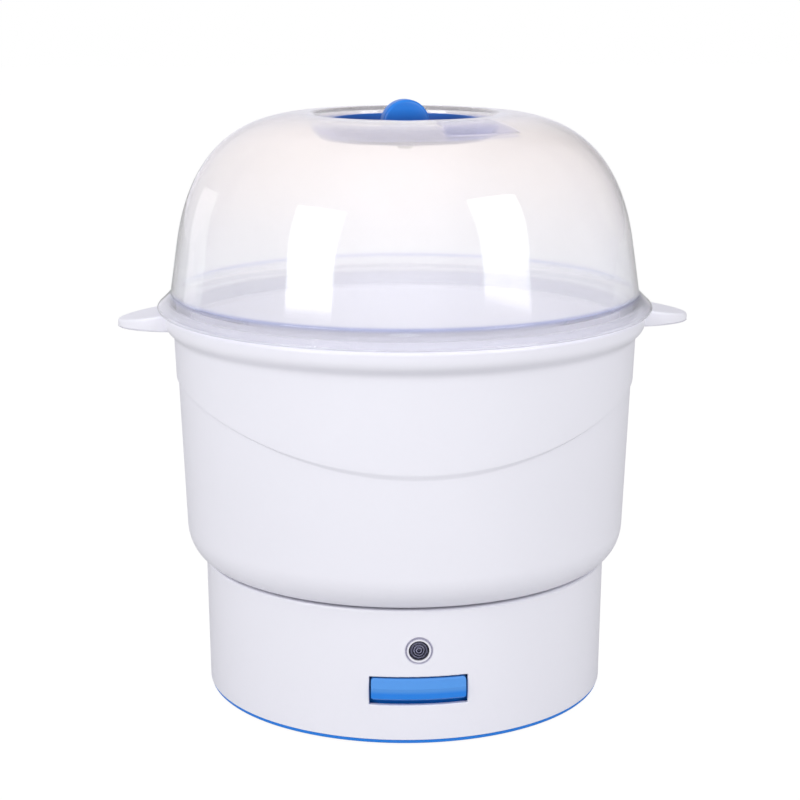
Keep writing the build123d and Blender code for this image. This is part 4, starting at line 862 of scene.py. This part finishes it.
def lid_surface():
    """The clear lid turned about Z from its closed profile, with the plain pad raised on its shoulder.

    The profile goes from the pole under the well's floor up beside the well, down the dome's inner face,
    round the skirt and the brim, up the outer face and down into the well to the pole on its floor.
    """
    crest_z = dome_top - crest_round
    edge_low, edge_top = rim_top + brim_gap, rim_top + brim_high
    edge_r = flange_radius - brim_round
    reach, rise = edge_r - foot_radius, foot_z - edge_top
    skirt = rim_step_radius - skirt_gap
    well_wide, well_deep = crest_radius - crest_round - well_floor_radius, crest_z - well_floor
    outer, inner = dome_faces()

    edge = rounded(
        [
            (edge_r, edge_low, 0),
            (flange_radius, edge_low + brim_low_slope, 0.0005),
            (flange_radius, edge_top - brim_high_slope, 0.0006),
            (edge_r, edge_top, 0),
        ]
    )[:-1]
    flare = bezier(
        (edge_r, edge_top),
        (foot_radius + flare_low[0] * reach, edge_top + flare_low[1] * rise),
        (foot_radius + flare_high[0] * reach, edge_top + flare_high[1] * rise),
        (foot_radius, foot_z),
        20,
    )
    foot_turn = rounded([(*flare[-2], 0), (*flare[-1], foot_round), (*outer[0], 0)])[1:-1]
    crest = ellipse((crest_radius, crest_z), crest_round, crest_round, 98, 180, 9)
    well_edge = (well_floor_radius, crest_z)
    well = ellipse(well_edge, well_wide, well_deep, 354, 270, 14)
    floor_shares = 0.9, 0.6, 0.25, 0.0
    floor = np.array([(well_floor_radius * share, well_floor) for share in floor_shares])
    under = floor[::-1] - (0.0, lid_wall)
    well_under = ellipse(well_edge, well_wide + lid_wall, well_deep + lid_wall, 270, 354, 14)
    inner_round = crest_round - lid_wall
    crest_under = ellipse((crest_radius, crest_z), inner_round, inner_round, 180, 98, 6)
    skirt_and_brim = rounded(
        [
            (*inner[-1], 0),
            (foot_radius - lid_wall, foot_z, 0.003),
            (skirt - skirt_wall, foot_z - 2 * lid_wall, 0.002),
            (skirt - skirt_wall, dome_low.z, 0.0006),
            (skirt, dome_low.z, 0.0006),
            (skirt, rim_top, 0.0003),
            (skirt + skirt_ledge, rim_top, 0.0003),
            (skirt + skirt_ledge, edge_top + 0.25 * rise, 0.001),
            (edge_r - brim_flat, edge_low + 0.0006, 0.0003),
            (edge_r - brim_flat, edge_low, 0.0002),
            (edge_r, edge_low, 0),
        ],
        4,
    )[1:-1]

    angles = lid_columns()
    outside = np.vstack([edge, flare[:-1], foot_turn, outer])
    shape = turned(outside, angles)
    raise_pad(shape, outside, angles)
    below = turned(np.vstack([under, well_under, crest_under, inner, skirt_and_brim]), angles)
    top = turned(np.vstack([crest, well, floor]), angles)
    points = np.concatenate([below, shape, top])
    mesh_piece("lid_shell", points, "lid", "clear_plastic", ["lid_dome", "lid_well"])


def dish_surface():
    """The grip's dish turned about Z, from the pole under it to the pole in it."""
    low = dish_radius - dish_flare
    dish = rounded(
        [
            (0.0, well_floor, 0),
            (low, well_floor, 0.0012),
            (dish_radius, well_floor + dish_height, 0.0009),
            (dish_radius - dish_sheet, well_floor + dish_height, 0.0009),
            (low - dish_sheet, well_floor + dish_sheet, 0.002),
            (0.0, well_floor + dish_sheet, 0),
        ]
    )
    mesh_piece("grip_dish", turned(dish), "lid", "blue_plastic", ["lid_grip"])


def fin_surface():
    """The half round fin: its outline seen from the front is shrunk and pushed out in stages, from the
    middle of one face over its bevelled edge to the middle of the other, and turned about Z."""
    middle = np.array([0.0, grip_high.z - fin_radius])
    foot = well_floor + dish_sheet * 0.5
    arc = ellipse(middle, fin_radius, fin_radius, 0, 180, 61)
    outline = np.vstack([
        arc,
        np.stack([np.full(6, -fin_radius), np.linspace(arc[-1, 1], foot, 7)[1:]], -1),
        np.stack([np.linspace(-fin_radius, fin_radius, 13)[1:], np.full(12, foot)], -1),
        np.stack([np.full(5, fin_radius), np.linspace(foot, arc[0, 1], 7)[1:-1]], -1),
    ])
    to_middle = middle - outline
    to_middle /= np.linalg.norm(to_middle, axis=1)[:, None]
    half = fin_thickness / 2
    stages = [(outline + (middle - outline) * shrink, half) for shrink in (1.0, 0.7, 0.4)]
    for angle in np.radians(np.linspace(0, 90, 7)):
        inset = fin_bevel * (1 - np.sin(angle))
        stages.append((outline + to_middle * inset, half - fin_bevel * (1 - np.cos(angle))))
    stages += [(flat, -push) for flat, push in reversed(stages)]
    cos_turn, sin_turn = math.cos(fin_turn), math.sin(fin_turn)
    points = np.array([
        np.stack([x * cos_turn - push * sin_turn, x * sin_turn + push * cos_turn, z], -1)
        for (x, z), push in ((flat.T, push) for flat, push in stages)
    ])
    mesh_piece("grip_fin", points, "lid", "blue_plastic")


tub_surface()
ear_surface(1)
ear_surface(-1)
lid_surface()
dish_surface()
fin_surface()

# Light, floor and camera
world_level = 0.57
world_rise = 0.18          # more light from above than from below
world_front = 0.24         # and more from the front than from the rear
back_level = 0.86          # level straight behind, as gloss shows it
side_start = 0.1           # from this far to the side it darkens
side_fall = 2.2            # at this rate
side_level = 0.3           # down to this
side_left = 0.5            # and less on the left
gloss_tint = (0.93, 0.92, 1.0)
floor_reach = 6.0
floor_white = 1.07         # the floor's own light, as the camera sees it
floor_share = 0.9          # of that light in what the camera sees; the rest shows the shadow
camera_place = (-0.06505, -0.96869, 0.3636)
camera_drop = 0.2210       # radians below level
camera_turn = math.radians(3.7)
camera_lens = 88.11


def area_lamp(name, centre, across, up, power):
    """A soft box: a rectangle with its middle at centre and its two sides along across and up."""
    lamp = bpy.data.lights.new(name, "AREA")
    lamp.shape = "RECTANGLE"
    across, up = Vector(across), Vector(up)
    lamp.size, lamp.size_y = across.length, up.length
    lamp.energy = power
    side = across.normalized()
    away = side.cross(up).normalized()
    high = away.cross(side)
    placed = bpy.data.objects.new(name, lamp)
    placed.matrix_world = Matrix.Translation(centre) @ Matrix((side, high, away)).transposed().to_4x4()
    bpy.context.scene.collection.objects.link(placed)


def seen_directly(tree, path):
    """1 for camera rays and for rays that went through glass."""
    return math_node(tree, "MAXIMUM", path.outputs["Is Camera Ray"], path.outputs["Is Transmission Ray"])


def background():
    """White for the camera and through glass, pale with darker sides in gloss, a plain level for the rest."""
    world = bpy.data.worlds.new("studio")
    bpy.context.scene.world = world
    world.use_nodes = True
    tree = world.node_tree
    path = tree.nodes.new("ShaderNodeLightPath")
    generated = tree.nodes.new("ShaderNodeTexCoord").outputs["Generated"]
    toward = node(tree, "ShaderNodeSeparateXYZ", Vector=generated).outputs
    plain = math_node(tree, "MULTIPLY_ADD", toward["Z"], world_rise, world_level)
    plain = math_node(tree, "MULTIPLY_ADD", toward["Y"], -world_front, plain)
    aside = math_node(tree, "MAXIMUM", toward["X"], times(tree, toward["X"], -side_left))
    sides = math_node(tree, "MULTIPLY_ADD", aside, -side_fall, 1.0 + side_fall * side_start)
    sides = math_node(tree, "MINIMUM", math_node(tree, "MAXIMUM", sides, side_level), back_level)
    glossy = path.outputs["Is Glossy Ray"]
    in_gloss = node(tree, "ShaderNodeMix", data_type="FLOAT", i0=glossy, i2=plain, i3=sides)
    seen = seen_directly(tree, path)
    level = node(tree, "ShaderNodeMix", data_type="FLOAT", i0=seen, i2=in_gloss.outputs[0], i3=1.0)
    reflected = times(tree, glossy, math_node(tree, "SUBTRACT", 1.0, seen))
    tint = paint(tree, (1.0, 1.0, 1.0), [(reflected, gloss_tint)])
    tree.links.new(level.outputs[0], tree.nodes["Background"].inputs["Strength"])
    tree.links.new(tint, tree.nodes["Background"].inputs["Color"])


def floor_plane():
    """A pale sheet that the camera sees as white with the object's soft shadow."""
    tree, shader = start_material("floor_sheet", Base_Color=(0.6, 0.6, 0.61, 1), Roughness=0.8)
    seen = seen_directly(tree, tree.nodes.new("ShaderNodeLightPath"))
    white = node(tree, "ShaderNodeEmission", Color=(1, 1, 1, 1), Strength=floor_white)
    mixed = node(tree, "ShaderNodeMixShader", i0=times(tree, seen, floor_share), i1=shader.outputs[0],
                 i2=white.outputs[0])
    tree.links.new(mixed.outputs[0], tree.nodes["Material Output"].inputs["Surface"])
    corners = [(-1, -1), (1, -1), (1, 1), (-1, 1)]
    mesh = bpy.data.meshes.new("floor")
    mesh.from_pydata([(x * floor_reach, y * floor_reach, 0.0) for x, y in corners], [], [(0, 1, 2, 3)])
    mesh.materials.append(finish["floor_sheet"])
    floor = bpy.data.objects.new("floor", mesh)
    bpy.context.scene.collection.objects.link(floor)


background()
floor_plane()
area_lamp("soft_box_left", (-0.737, -0.638, 0.578), (0.285, -0.328, 0.025), (0.135, 0.158, 0.545), 3.8)
area_lamp("soft_box_right", (0.67, -0.643, 0.628), (0.311, 0.297, -0.046), (-0.148, 0.265, 0.64), 3.1)
area_lamp("strip_left", (-0.822, 0.591, 0.306), (-0.169, -0.262, 0.116), (0.218, 0.257, 0.243), 0.2)

camera_data = bpy.data.cameras.new("camera")
camera_data.lens = camera_lens
camera_data.sensor_width = 36.0
camera = bpy.data.objects.new("camera", camera_data)
camera.location = camera_place
camera.rotation_euler = (math.pi / 2 - camera_drop, 0.0, -camera_turn)
bpy.context.scene.collection.objects.link(camera)
bpy.context.scene.camera = camera
bpy.context.scene.view_settings.view_transform = "Standard"
